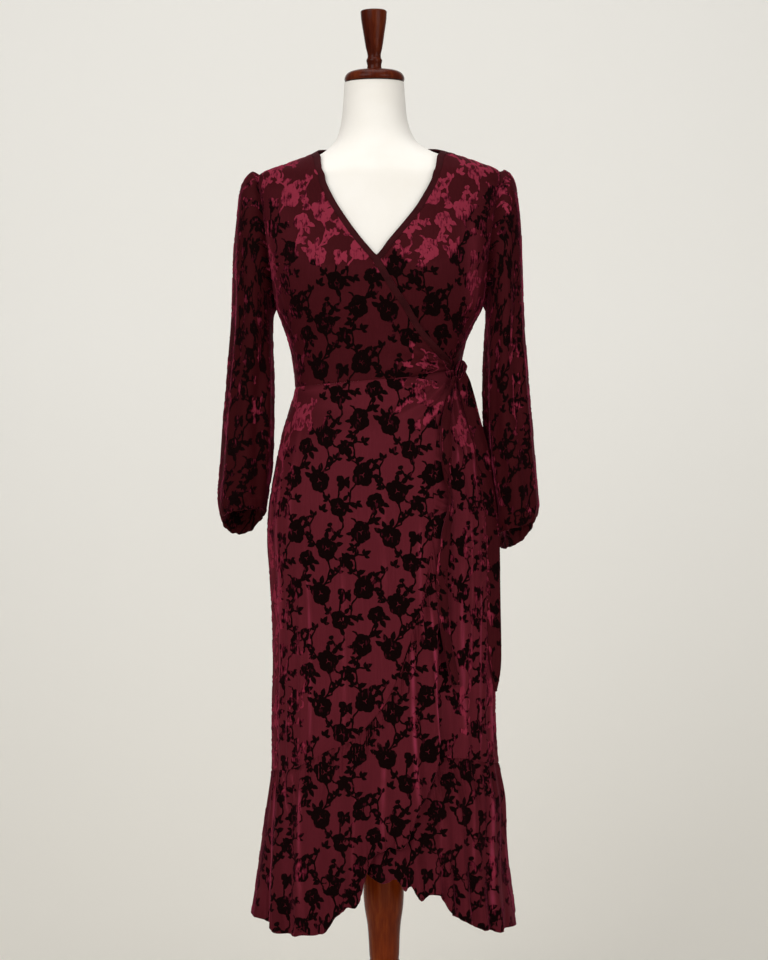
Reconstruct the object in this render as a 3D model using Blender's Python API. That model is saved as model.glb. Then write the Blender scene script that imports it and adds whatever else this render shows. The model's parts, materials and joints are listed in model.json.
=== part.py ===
# A wrap dress with long sleeves and a flounced hem, worn by a limbless dress form on a turned stand.
# Metres, +Z up, origin on the floor under the pole, the dress faces -Y and its wearer's left is +X.
# A place on the dress is an angle round the body in degrees (0 front, 90 wearer's left, 180 back)
# and a height; skin() turns it into a point, and every panel is a wall made on that skin.

import bmesh
import bpy
import math
import numpy as np
from collections import namedtuple
from mathutils import Vector

WALL = 0.0016              # thickness of the folded-over cloth wall
GAP = 0.0004               # half of the gap left at a seam
SEAM_ANGLE = 0.18          # the same gap at side and shoulder seams, in degrees
UNDER = 0.0036             # how far the under front lies inside the over front
UNDER_HEM = 0.0060         # the same at the flounces, below the dress form
FORM_EASE = 0.0074         # from the dress's outer face to the dress form
TIP_EASE = 0.009           # and this much more at the shoulder tips
BAND = 0.014               # width of the plain band along the neck edges
CUFF_HEIGHT = 0.022
FORM_BOTTOM = 0.790        # lower end of the dress form's body
SIDE_RIGHT_SEAM = 0.4635   # flounce seam at the wearer's right side seam
SIDE_LEFT_SEAM = 0.4715
HEM_RIGHT = 0.2384         # hem at the side seams and at the middle of the back
HEM_LEFT = 0.2126
HEM_BACK = 0.2620
BACK_NECK_RISE = 0.0095    # how far the back neck edge climbs above the shoulder seams
RIGHT_ARMHOLE = (1.4155, 1.1990)         # top and bottom of each armhole
LEFT_ARMHOLE = (1.4165, 1.2070)
ARMHOLE_DEPTH = 0.046      # half of the armhole, front to back
ARMHOLE_GAP = 0.0012       # how much smaller the sleeve's end is

# How the meshes are divided
ARM_SHARE = 0.6            # share of a panel's side that is armhole
EDGE_ROWS = 22             # rows along the neck edges, the same in a panel and its band
NECK_COLUMNS = 12          # columns along the back neck, and beside it to each armhole
SHOULDER_COLUMNS = 3
TORSO_COLUMNS = 22

# Outer face of the dress, and of the neck above it: half widths to the wearer's right and left,
# depths to front and back, and how square the section is (2 is an ellipse)
Section = namedtuple("Section", "height right left front back square")
BODY = [Section(*row) for row in (
    (1.5605, 0.0555, 0.0545, 0.052, 0.054, 2.0),
    (1.5280, 0.0580, 0.0565, 0.052, 0.060, 2.0),
    (1.5000, 0.0610, 0.0595, 0.055, 0.066, 2.0),
    (1.4816, 0.0655, 0.0655, 0.058, 0.073, 2.0),
    (1.4670, 0.0730, 0.0750, 0.063, 0.081, 2.0),
    (1.4575, 0.0840, 0.0900, 0.067, 0.086, 2.0),
    (1.4520, 0.0920, 0.1015, 0.069, 0.089, 2.0),
    (1.4432, 0.1100, 0.1290, 0.073, 0.093, 2.0),
    (1.4314, 0.1430, 0.1630, 0.078, 0.097, 2.05),
    (1.4235, 0.1660, 0.1840, 0.082, 0.100, 2.1),
    (1.4165, 0.1830, 0.1965, 0.085, 0.102, 2.2),
    (1.4050, 0.1890, 0.2010, 0.088, 0.104, 2.3),
    (1.3700, 0.1895, 0.2000, 0.096, 0.107, 2.5),
    (1.3300, 0.1860, 0.1950, 0.106, 0.109, 2.55),
    (1.2900, 0.1795, 0.1870, 0.115, 0.108, 2.5),
    (1.2400, 0.1700, 0.1770, 0.121, 0.104, 2.4),
    (1.2000, 0.1605, 0.1690, 0.119, 0.099, 2.35),
    (1.1700, 0.1500, 0.1540, 0.113, 0.094, 2.3),
    (1.1470, 0.1426, 0.1430, 0.108, 0.090, 2.3),
    (1.1015, 0.1341, 0.1350, 0.101, 0.085, 2.3),
    (1.0725, 0.1325, 0.1380, 0.099, 0.087, 2.3),
    (1.0420, 0.1408, 0.1450, 0.102, 0.096, 2.3),
    (1.0017, 0.1543, 0.1550, 0.108, 0.108, 2.3),
    (0.9680, 0.1631, 0.1635, 0.112, 0.116, 2.3),
    (0.9310, 0.1680, 0.1690, 0.116, 0.122, 2.3),
    (0.8880, 0.1747, 0.1755, 0.119, 0.127, 2.3),
    (0.8350, 0.1790, 0.1815, 0.121, 0.130, 2.25),
    (0.7600, 0.1750, 0.1835, 0.121, 0.131, 2.2),
    (0.6560, 0.1727, 0.1840, 0.121, 0.132, 2.2),
    (0.5335, 0.1758, 0.1838, 0.123, 0.134, 2.2),
    (0.4640, 0.1772, 0.1875, 0.126, 0.137, 2.2),
    (0.4190, 0.1815, 0.1935, 0.131, 0.142, 2.2),
    (0.3290, 0.1965, 0.2000, 0.142, 0.155, 2.15),
    (0.2510, 0.2080, 0.2065, 0.152, 0.166, 2.1),
    (0.2000, 0.2160, 0.2110, 0.158, 0.174, 2.1),
)]
BUST_ACROSS = 0.084
BUST_HEIGHT = 1.238
BUST_SPREAD = 0.050
BUST_LIFT = 0.013

# Neck edges and wrap edges, from the shoulder down: distance across and height
NECK_EDGE_RIGHT = (        # the over front, which ends at the knot
    (-0.0893, 1.4535), (-0.0888, 1.4450), (-0.0858, 1.4291), (-0.0780, 1.4070), (-0.0644, 1.3726),
    (-0.0520, 1.3441), (-0.0284, 1.3100), (-0.0004, 1.2766), (0.0159, 1.2511), (0.0353, 1.2182),
    (0.0568, 1.1850), (0.0696, 1.1630), (0.0890, 1.1388), (0.1060, 1.1200), (0.1165, 1.1060),
)
NECK_EDGE_LEFT = (         # the under front, which goes on inside the over front
    (0.1000, 1.4527), (0.0988, 1.4400), (0.0965, 1.4249), (0.0903, 1.4029), (0.0779, 1.3794),
    (0.0610, 1.3531), (0.0369, 1.3269), (0.0147, 1.3022), (-0.0004, 1.2766), (-0.0180, 1.2480),
    (-0.0370, 1.2190), (-0.0560, 1.1880), (-0.0740, 1.1560), (-0.0890, 1.1260), (-0.0980, 1.0990),
)
# Where the over front ends on the wearer's left, by height
OVER_EDGE = (
    (1.3200, -0.060), (1.2766, 0.000), (1.2182, 0.036), (1.1630, 0.070), (1.1165, 0.112),
    (1.0285, 0.116), (0.8926, 0.118), (0.7771, 0.092), (0.4961, 0.090), (0.4116, 0.064),
    (0.3400, 0.040), (0.2000, 0.036),
)
# Height of the waist seam, by angle
WAIST = (
    (-90, 1.0735), (-50, 1.0755), (0, 1.0822), (62, 1.0975), (90, 1.1030),
    (180, 1.0860), (270, 1.0735),
)
KNOT_ANGLE = 62            # the over front ends here, at the tie
WAIST_RADIUS = 0.13

# Flounce of the over front, a row for each rib from the right side seam round to the knot: the
# rib's ends on the seam and on the free edge, and how far its free end stands out
Rib = namedtuple("Rib", "seam_across seam_height edge_across edge_height lift")
OVER_RIBS = [Rib(*row) for row in (
    (-0.1776, 0.4635, -0.2120, 0.2384, 0.002),
    (-0.1630, 0.4680, -0.1980, 0.2428, 0.013),
    (-0.1476, 0.4705, -0.1800, 0.2440, 0.001),
    (-0.1340, 0.4760, -0.1650, 0.2200, 0.014),
    (-0.1195, 0.4823, -0.1390, 0.2316, 0.001),
    (-0.1030, 0.4920, -0.1210, 0.2168, 0.014),
    (-0.0851, 0.5036, -0.0980, 0.2240, 0.002),
    (-0.0700, 0.5080, -0.0790, 0.2400, 0.012),
    (-0.0570, 0.5142, -0.0600, 0.2680, 0.001),
    (-0.0383, 0.5248, -0.0420, 0.2620, 0.014),
    (-0.0242, 0.5402, -0.0265, 0.3250, 0.001),
    (-0.0116, 0.5540, -0.0110, 0.3475, 0.008),
    (0.0057, 0.5755, 0.0060, 0.3550, 0.001),
    (0.0232, 0.6110, 0.0205, 0.3515, 0.009),
    (0.0360, 0.6450, 0.0360, 0.3560, 0.001),
    (0.0488, 0.6806, 0.0556, 0.4116, 0.013),
    (0.0585, 0.7115, 0.0706, 0.4377, 0.003),
    (0.0666, 0.7378, 0.0867, 0.4961, 0.009),
    (0.0731, 0.7688, 0.0863, 0.5996, 0.002),
    (0.0781, 0.7998, 0.0880, 0.7077, 0.004),
    (0.0832, 0.8385, 0.0920, 0.7771, 0.001),
    (0.0852, 0.8773, 0.1126, 0.8600, 0.005),
    (0.0857, 0.9161, 0.1159, 0.8980, 0.001),
    (0.0882, 0.9642, 0.1050, 0.9545, 0.004),
    (0.0940, 1.0060, 0.1089, 1.0008, 0.001),
    (0.1010, 1.0323, 0.1133, 1.0285, 0.003),
    (0.1100, 1.0740, 0.1186, 1.0700, 0.001),
)]
OVER_BEND = 12             # the rib at which the seam turns from the bottom up to the knot
# Flounce of the under front, from where it ends inside the skirt to the left side seam
UNDER_RIBS = [Rib(*row) for row in (
    (-0.0513, 0.6119, -0.0480, 0.3400, 0.000),
    (-0.0297, 0.5992, -0.0250, 0.3150, 0.000),
    (-0.0097, 0.5835, 0.0000, 0.3000, 0.002),
    (0.0056, 0.5631, 0.0200, 0.3040, 0.000),
    (0.0163, 0.5444, 0.0340, 0.2870, 0.004),
    (0.0300, 0.5220, 0.0430, 0.2980, 0.000),
    (0.0407, 0.5131, 0.0570, 0.2746, 0.009),
    (0.0561, 0.5020, 0.0700, 0.2790, 0.001),
    (0.0716, 0.4941, 0.0840, 0.2780, 0.010),
    (0.0810, 0.4925, 0.0940, 0.2700, 0.001),
    (0.0902, 0.4908, 0.1050, 0.2520, 0.012),
    (0.1020, 0.4900, 0.1160, 0.2420, 0.001),
    (0.1134, 0.4890, 0.1310, 0.2350, 0.012),
    (0.1230, 0.4885, 0.1440, 0.2290, 0.001),
    (0.1336, 0.4860, 0.1590, 0.2170, 0.013),
    (0.1460, 0.4830, 0.1720, 0.2215, 0.001),
    (0.1600, 0.4790, 0.1850, 0.2240, 0.012),
    (0.1870, 0.4715, 0.2080, 0.2126, 0.001),
)]
BACK_WAVES = 12
BACK_WAVE_LIFT = 0.014
BACK_SIDE_LIFT = 0.35      # share of that lift next to the side seams
BACK_SCALLOP = 0.006       # how far the waves move the hem up and down

# Long soft folds of the skirt, by angle; first is the height at which a fold starts to grow
Fold = namedtuple("Fold", "at_waist at_hem half_width depth first")
SKIRT_FOLDS = [Fold(*row) for row in (
    (-74, -70, 9, 0.0035, 0.980),
    (-50, -48, 8, 0.0030, 0.860),
    (-22, -27, 8, 0.0025, 0.800),
    (28, 16, 8, 0.0030, 0.930),
    (50, 38, 7, 0.0030, 0.960),
    (76, 66, 8, 0.0035, 0.940),
    (112, 114, 10, 0.0045, 0.900),
    (140, 145, 11, 0.0045, 0.950),
    (172, 176, 11, 0.0040, 0.880),
    (206, 202, 11, 0.0045, 0.940),
    (240, 236, 10, 0.0045, 0.900),
)]
KNOT_PLEATS = 9            # pleats that fan out from the knot, all round
KNOT_PLEAT_DEPTH = 0.0024
KNOT_PLEAT_START = 0.035   # distance from the knot at which they are full, and at which they end
KNOT_PLEAT_END = 0.17

# Sleeves, a row for each section from the shoulder to the gathered end: where the section's outer
# and inner sides are, across and in height, its half depth and how far it sits to the back
Cut = namedtuple("Cut", "out_across out_height in_across in_height depth back")
SLEEVE_RIGHT = [Cut(*row) for row in (
    (-0.1960, 1.4215, -0.1640, 1.1960, 0.0500, 0.000),
    (-0.2060, 1.4155, -0.1655, 1.1890, 0.0550, -0.001),
    (-0.2163, 1.3960, -0.1665, 1.1800, 0.0580, -0.002),
    (-0.2207, 1.3645, -0.1670, 1.1680, 0.0590, -0.003),
    (-0.2253, 1.3245, -0.1675, 1.1530, 0.0580, -0.005),
    (-0.2290, 1.2750, -0.1680, 1.1300, 0.0560, -0.007),
    (-0.2308, 1.2180, -0.1680, 1.1000, 0.0530, -0.010),
    (-0.2335, 1.1700, -0.1680, 1.0750, 0.0510, -0.012),
    (-0.2390, 1.1150, -0.1685, 1.0450, 0.0490, -0.014),
    (-0.2440, 1.0600, -0.1695, 1.0130, 0.0480, -0.016),
    (-0.2485, 1.0120, -0.1705, 0.9800, 0.0480, -0.017),
    (-0.2530, 0.9600, -0.1735, 0.9430, 0.0490, -0.018),
    (-0.2575, 0.9080, -0.1790, 0.9030, 0.0490, -0.018),
)]
SLEEVE_LEFT = [Cut(*row) for row in (
    (0.2075, 1.4190, 0.1720, 1.2040, 0.0500, 0.000),
    (0.2150, 1.4140, 0.1735, 1.1960, 0.0550, -0.001),
    (0.2225, 1.3980, 0.1740, 1.1870, 0.0580, -0.002),
    (0.2275, 1.3660, 0.1745, 1.1740, 0.0590, -0.003),
    (0.2315, 1.3290, 0.1745, 1.1580, 0.0580, -0.005),
    (0.2330, 1.2780, 0.1745, 1.1360, 0.0560, -0.007),
    (0.2343, 1.2170, 0.1745, 1.1050, 0.0530, -0.010),
    (0.2360, 1.1700, 0.1745, 1.0760, 0.0510, -0.012),
    (0.2390, 1.1130, 0.1745, 1.0420, 0.0490, -0.014),
    (0.2425, 1.0580, 0.1750, 1.0080, 0.0480, -0.017),
    (0.2460, 1.0060, 0.1760, 0.9700, 0.0480, -0.020),
    (0.2500, 0.9400, 0.1810, 0.9220, 0.0490, -0.022),
    (0.2530, 0.8850, 0.1870, 0.8780, 0.0490, -0.022),
)]
CAP_GATHERS = 9            # small gathers round the sleeve cap
CAP_GATHER_DEPTH = 0.0022
SLEEVE_FOLDS = (4, 7)      # two sets of long folds round the sleeve, which meet unevenly
SLEEVE_FOLD_DEPTH = 0.0028
# The sleeve ends turn in at a slanting fold, a row for each angle round the sleeve (0 front, 90 the
# +X side): the fold's height
FOLD_RIGHT = ((0, 0.8800), (60, 0.8810), (100, 0.8740), (140, 0.8600), (170, 0.8440), (215, 0.8425),
              (245, 0.8520), (270, 0.8640), (300, 0.8720), (360, 0.8800))
FOLD_LEFT = ((0, 0.8500), (50, 0.8580), (90, 0.8640), (125, 0.8480), (150, 0.8330), (180, 0.8180),
             (215, 0.8110), (250, 0.8180), (270, 0.8290), (320, 0.8400), (360, 0.8500))
FOLD_STEPS = ((0.98, 0.012), (0.89, 0.0), (0.76, 0.005))   # share of the width, above the fold
CUFF_RIGHT = (-0.2175, -0.018, 0.905, 0.0245)    # middle, lower edge and radius of each cuff
CUFF_LEFT = (0.2200, -0.022, 0.880, 0.0245)

# The tie's two tails from the knot down; out is how far they lie off the skirt, twist is in degrees
Place = namedtuple("Place", "angle height out width twist")
TAIL_FRONT = [Place(*row) for row in (
    (57.0, 1.0830, 0.0100, 0.014, 10),
    (49.5, 1.0500, 0.0085, 0.016, 25),
    (40.5, 0.9800, 0.0080, 0.018, -5),
    (40.0, 0.9250, 0.0085, 0.017, 20),
    (40.5, 0.8800, 0.0095, 0.014, 40),
    (37.0, 0.8300, 0.0085, 0.017, 5),
    (33.5, 0.7700, 0.0080, 0.019, -15),
    (34.5, 0.7050, 0.0080, 0.019, 10),
    (36.5, 0.6550, 0.0080, 0.020, 15),
    (41.0, 0.6050, 0.0080, 0.016, 0),
)]
TAIL_SIDE = [Place(*row) for row in (
    (76.0, 1.0850, 0.0100, 0.016, -10),
    (81.0, 1.0500, 0.0105, 0.020, 10),
    (85.0, 0.9900, 0.0075, 0.022, 8),
    (87.0, 0.9300, 0.0050, 0.022, 0),
    (88.0, 0.8500, 0.0050, 0.022, 0),
    (88.0, 0.7600, 0.0085, 0.024, 5),
    (88.0, 0.6700, 0.0100, 0.023, 12),
    (87.0, 0.6200, 0.0100, 0.021, 8),
    (85.0, 0.5850, 0.0080, 0.012, 0),
)]
TAIL_WALL = 0.0022
TAIL_ROOM = 0.0060         # extra room between the left sleeve and the skirt for the tail
KNOT = Place(67.0, 1.1030, 0.0125, 0.029, 0)
KNOT_SIZE = (0.0145, 0.0115, 0.0190)     # half sizes round the body, outwards and in height

# Turned pieces, a row for each change of outline from the top down: radius, height
NECK_CAP = ((0.030, 1.5792), (0.038, 1.5778), (0.0440, 1.5745), (0.0470, 1.5700), (0.0480, 1.5655),
            (0.0470, 1.5618))
FINIAL = ((0.0190, 1.6760), (0.0207, 1.6745), (0.0208, 1.6700), (0.0170, 1.6400), (0.0130, 1.6150),
          (0.0106, 1.6030), (0.0108, 1.6005), (0.0126, 1.5965), (0.0112, 1.5880), (0.0125, 1.5796))
POLE = ((0.0250, 0.7890), (0.0250, 0.6500), (0.0290, 0.6000), (0.0320, 0.5000), (0.0340, 0.3800),
        (0.0330, 0.3000), (0.0312, 0.2450), (0.0266, 0.2140), (0.0238, 0.1650), (0.0234, 0.1580),
        (0.0262, 0.1540), (0.0262, 0.1460), (0.0234, 0.1420), (0.0230, 0.1000), (0.0260, 0.0600),
        (0.0330, 0.0420), (0.0350, 0.0353))
BASE = ((0.0480, 0.0350), (0.0620, 0.0340), (0.1350, 0.0290), (0.1700, 0.0240), (0.1860, 0.0180),
        (0.1900, 0.0110), (0.1880, 0.0040), (0.1850, 0.0000))

# Finishes: colour, roughness, metallic
FINISH = {
    "velvet": ((0.085, 0.012, 0.024), 0.75, 0.0),
    "band": ((0.070, 0.012, 0.022), 0.80, 0.0),
    "form_cloth": ((0.86, 0.83, 0.76), 0.90, 0.0),
    "dark_wood": ((0.055, 0.012, 0.008), 0.25, 0.0),
    "pole_wood": ((0.160, 0.036, 0.014), 0.25, 0.0),
}


def between(keys, values, at):
    """Smooth curve through values given at rising keys, one column or several."""
    keys = np.asarray(keys, dtype=float)
    values = np.asarray(values, dtype=float)
    slopes = np.gradient(values, keys, axis=0)
    at = min(max(at, keys[0]), keys[-1])
    low = min(int(np.searchsorted(keys, at, side="right")) - 1, len(keys) - 2)
    span = keys[low + 1] - keys[low]
    t = (at - keys[low]) / span
    start = values[low] * (1 + 2 * t) * (1 - t) ** 2 + slopes[low] * span * t * (1 - t) ** 2
    end = values[low + 1] * t * t * (3 - 2 * t) - slopes[low + 1] * span * t * t * (1 - t)
    return start + end


def soft_step(value):
    value = min(max(value, 0.0), 1.0)
    return value * value * (3 - 2 * value)


BODY_UP = np.array(sorted(BODY))


def section(height):
    return between(BODY_UP[:, 0], BODY_UP[:, 1:], height)


def skin(angle, height):
    """The point of the dress's outer face at an angle and a height."""
    right, left, front, back, square = section(height)
    side = math.sin(math.radians(angle))
    ahead = math.cos(math.radians(angle))
    across = math.copysign(abs(side) ** (2 / square), side) * (left if side > 0 else right)
    along = math.copysign(abs(ahead) ** (2 / square), ahead) * (front if ahead > 0 else back)
    if ahead > 0:
        reach = ((abs(across) - BUST_ACROSS) ** 2 + (height - BUST_HEIGHT) ** 2) / BUST_SPREAD ** 2
        along += BUST_LIFT * math.exp(-reach) * min(ahead * 3, 1)
    return Vector((across, -along, height))


def outward(angle, height):
    """The direction straight out of the skin."""
    round_body = skin(angle + 1.0, height) - skin(angle - 1.0, height)
    upward = skin(angle, height + 0.002) - skin(angle, height - 0.002)
    return round_body.cross(upward).normalized()


def raised(angle, height, lift):
    return skin(angle, height) + outward(angle, height) * lift


def angle_at(across, height):
    """The angle at which the front of the skin is that far across."""
    right, left, _, _, square = section(height)
    half = left if across > 0 else right
    side = min(abs(across) / half, 1.0) ** (square / 2)
    return math.copysign(math.degrees(math.asin(side)), across)


def line_through(places):
    """A smooth line through (angle, height) places, as a function of 0 to 1."""
    points = [skin(*place) for place in places]
    run = [0.0]
    for one, other in zip(points, points[1:]):
        run.append(run[-1] + (other - one).length)
    keys = np.array(run) / run[-1]
    return lambda t: between(keys, np.array(places), t)


def straight(start, end):
    return lambda t: np.array(start) * (1 - t) + np.array(end) * t


def joined(pieces, shares):
    """One line made of several, each with its share of 0 to 1."""
    ends = np.cumsum(shares)

    def line(t):
        index = min(int(np.searchsorted(ends, t - 1e-9)), len(pieces) - 1)
        start = ends[index] - shares[index]
        return pieces[index](min(max((t - start) / shares[index], 0.0), 1.0))
    return line


def moved_in(line, distance):
    """The line, moved over the skin to the left of its direction as seen from outside."""
    def shifted(t):
        here = line(t)
        step = line(min(t + 0.01, 1.0)) - line(max(t - 0.01, 0.0))
        by_angle = (skin(here[0] + 0.5, here[1]) - skin(here[0] - 0.5, here[1]))
        by_height = (skin(here[0], here[1] + 0.001) - skin(here[0], here[1] - 0.001)) * 500
        heading = by_angle * step[0] + by_height * step[1]
        aside = outward(*here).cross(heading).normalized() * distance
        system = np.array([[by_angle.dot(by_angle), by_angle.dot(by_height)],
                           [by_angle.dot(by_height), by_height.dot(by_height)]])
        change = np.linalg.solve(system, [by_angle.dot(aside), by_height.dot(aside)])
        return here + change
    return shifted


def patch(top, bottom, left, right):
    """Places inside four border lines: top and bottom run across, left and right run down."""
    def place(u, v):
        across = top(u) * (1 - v) + bottom(u) * v
        down = left(v) * (1 - u) + right(v) * u
        corners = ((top(0) * (1 - u) + top(1) * u) * (1 - v)
                   + (bottom(0) * (1 - u) + bottom(1) * u) * v)
        return across + down - corners
    return place


def finish(name):
    material = bpy.data.materials.get(name)
    if material is None:
        colour, roughness, metallic = FINISH[name]
        material = bpy.data.materials.new(name)
        material.use_nodes = True
        shader = material.node_tree.nodes["Principled BSDF"]
        shader.inputs["Base Color"].default_value = (*colour, 1.0)
        shader.inputs["Roughness"].default_value = roughness
        shader.inputs["Metallic"].default_value = metallic
    return material


def add_object(name, shape, material, smooth_angle=60):
    mesh = bpy.data.meshes.new(name)
    shape.to_mesh(mesh)
    shape.free()
    mesh.shade_smooth()
    mesh.set_sharp_from_angle(angle=math.radians(smooth_angle))
    mesh.materials.append(finish(material))
    piece = bpy.data.objects.new(name, mesh)
    bpy.context.scene.collection.objects.link(piece)
    return piece


def cloth(name, columns, rows, point, material="velvet", wall=WALL, closed=False):
    """A wall of cloth: point(u, v) gives its outer face, u to the right and v down."""
    shape = bmesh.new()
    bmesh.ops.create_grid(shape, x_segments=columns, y_segments=rows, size=0.5)
    for vert in shape.verts:
        vert.co = point(vert.co.x + 0.5, 0.5 - vert.co.y)
    if closed:
        bmesh.ops.remove_doubles(shape, verts=shape.verts, dist=1e-6)
    piece = add_object(name, shape, material)
    thickness = piece.modifiers.new("wall", "SOLIDIFY")
    thickness.thickness = wall
    thickness.offset = -1.0
    return piece


def turned(name, profile, material, segments=24):
    """A solid turned round the pole's axis, its profile running down the outer side."""
    shape = bmesh.new()
    axis_top = shape.verts.new((0, 0, profile[0][1]))
    axis_bottom = shape.verts.new((0, 0, profile[-1][1]))
    outer = [shape.verts.new((radius, 0, height)) for radius, height in profile]
    chain = [axis_top] + outer + [axis_bottom]
    edges = [shape.edges.new(pair) for pair in zip(chain, chain[1:])]
    bmesh.ops.spin(shape, geom=chain + edges, axis=(0, 0, 1), cent=(0, 0, 0),
                   angle=math.tau, steps=segments, use_merge=True)
    bmesh.ops.remove_doubles(shape, verts=shape.verts, dist=1e-6)
    bmesh.ops.recalc_face_normals(shape, faces=shape.faces)
    return add_object(name, shape, material, 40)


def skirt_fold(angle, height):
    """How far the skirt's long folds push the cloth out."""
    lift = 0.0
    hem_share = min(max((1.08 - height) / 0.85, 0.0), 1.0)
    for at_waist, at_hem, half_width, depth, first in SKIRT_FOLDS:
        middle = at_waist + (at_hem - at_waist) * hem_share
        away = (angle - middle + 180) % 360 - 180
        growth = soft_step((first - height) / 0.25)
        lift += depth * growth * math.exp(-(away / half_width) ** 2)
    return lift


def knot_pleat(angle, height):
    """Pleats that fan out from the knot and fade within a hand's width."""
    along = math.radians(angle - KNOT_ANGLE) * WAIST_RADIUS
    up = height - KNOT.height
    reach = math.hypot(along, up)
    fade = soft_step(reach / KNOT_PLEAT_START) * soft_step((KNOT_PLEAT_END - reach) / 0.12)
    return KNOT_PLEAT_DEPTH * fade * (1 + math.cos(KNOT_PLEATS * 2 * math.atan2(up, along)))


def under_drop(angle, height):
    """How far the under front lies inside: all the way where the over front covers it."""
    heights = [row[0] for row in reversed(OVER_EDGE)]
    edges = [row[1] for row in reversed(OVER_EDGE)]
    across = skin(angle, height).x
    covered = 1 - soft_step((across - float(between(heights, edges, height)) - 0.008) / 0.035)
    deepest = UNDER + (UNDER_HEM - UNDER) * soft_step((0.72 - height) / 0.15)
    return -deepest * covered


def armhole(row, sign, phi, smaller=0.0):
    """Angle and height of the armhole's edge; phi goes round it as round the sleeve."""
    top, bottom = row
    middle = (top + bottom) / 2
    half = (top - bottom) / 2 - smaller
    height = middle + half * sign * math.sin(math.radians(phi))
    depth = (ARMHOLE_DEPTH - smaller) * math.cos(math.radians(phi))
    _, _, front, back, square = section(height)
    reach = front if depth > 0 else back
    angle = math.degrees(math.acos(min(abs(depth) / reach, 1.0) ** (square / 2)))
    if depth < 0:
        angle = 180 - angle
    return np.array((sign * angle, height))


def waist(angle):
    return float(between([row[0] for row in WAIST], [row[1] for row in WAIST], angle))


def waist_line(start, end, shift):
    return lambda t: np.array((start + (end - start) * t,
                               waist(start + (end - start) * t) + shift))


def waist_to(start, corner, shift):
    """The waist seam from a side seam to a panel's corner, which may lie just off the seam."""
    rise = corner[1] - waist(corner[0]) - shift
    seam = waist_line(start, corner[0], shift)
    return lambda t: seam(t) + np.array((0, rise * soft_step(t * 4 - 3)))


def edge_line(table):
    return line_through([(angle_at(across, height), height) for across, height in table])


def bodice_front_right():
    edge = edge_line(NECK_EDGE_RIGHT)
    inner = moved_in(edge, -(BAND + 2 * GAP))
    side = -90 + SEAM_ANGLE
    arm = lambda t: armhole(RIGHT_ARMHOLE, -1, -90 + 180 * t)
    left = joined([arm, straight((side, RIGHT_ARMHOLE[1]), (side, waist(-90) + GAP))],
                  [ARM_SHARE, 1 - ARM_SHARE])
    left_side = lambda t: np.array((max(left(t)[0], side), left(t)[1]))
    corner = inner(1.0)
    top = straight(left_side(0), inner(0))
    place = patch(top, waist_to(side, corner, GAP), left_side, inner)

    def point(u, v):
        angle, height = place(u, v)
        return raised(max(angle, side), height, knot_pleat(angle, height))
    cloth("bodice_front_right", 11, EDGE_ROWS, point)


def bodice_front_left():
    edge = edge_line(NECK_EDGE_LEFT)
    inner = moved_in(edge, BAND + 2 * GAP)
    side = 90 - SEAM_ANGLE
    arm = lambda t: armhole(LEFT_ARMHOLE, 1, 90 - 180 * t)
    right = joined([arm, straight((side, LEFT_ARMHOLE[1]), (side, waist(90) + GAP))],
                   [ARM_SHARE, 1 - ARM_SHARE])
    right_side = lambda t: np.array((min(right(t)[0], side), right(t)[1]))
    corner = inner(1.0)
    top = straight(inner(0), right_side(0))
    bottom = waist_to(side, corner, GAP)
    place = patch(top, lambda t: bottom(1 - t), inner, right_side)

    def point(u, v):
        angle, height = place(u, v)
        return raised(min(angle, side), height, under_drop(angle, height))
    cloth("bodice_front_left", 11, EDGE_ROWS, point)


def back_neck(t):
    """The back neck edge, from the left shoulder to the right one."""
    rise = BACK_NECK_RISE * math.sin(math.pi * t) ** 0.8
    ends = NECK_EDGE_LEFT[0][1] * (1 - t) + NECK_EDGE_RIGHT[0][1] * t
    return np.array((90 + SEAM_ANGLE + (180 - 2 * SEAM_ANGLE) * t, ends + rise))


def back_neck_in(distance):
    """A line below the back neck edge that still ends on the shoulder seams."""
    inner = moved_in(back_neck, -distance)
    first, last = back_neck(0)[0] - inner(0)[0], back_neck(1)[0] - inner(1)[0]
    return lambda t: inner(t) + np.array((first * (1 - t) + last * t, 0))


def bodice_back():
    low, high = 90 + SEAM_ANGLE, 270 - SEAM_ANGLE
    columns = NECK_COLUMNS + 2 * SHOULDER_COLUMNS
    neck = back_neck_in(BAND + 2 * GAP)
    top = joined([straight((low, LEFT_ARMHOLE[0]), neck(0)), neck,
                  straight(neck(1), (high, RIGHT_ARMHOLE[0]))],
                 [share / columns for share in (SHOULDER_COLUMNS, NECK_COLUMNS, SHOULDER_COLUMNS)])
    arm_left = lambda t: armhole(LEFT_ARMHOLE, 1, 90 + 180 * t)
    arm_right = lambda t: armhole(RIGHT_ARMHOLE, -1, 270 - 180 * t) + np.array((360, 0))
    left = joined([arm_left, straight((low, LEFT_ARMHOLE[1]), (low, waist(90) + GAP))],
                  [ARM_SHARE, 1 - ARM_SHARE])
    right = joined([arm_right, straight((high, RIGHT_ARMHOLE[1]), (high, waist(270) + GAP))],
                   [ARM_SHARE, 1 - ARM_SHARE])
    left_side = lambda t: np.array((max(left(t)[0], low), left(t)[1]))
    right_side = lambda t: np.array((min(right(t)[0], high), right(t)[1]))
    place = patch(top, waist_line(low, high, GAP), left_side, right_side)
    cloth("bodice_back", columns, 15, lambda u, v: skin(*place(u, v)))


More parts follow.
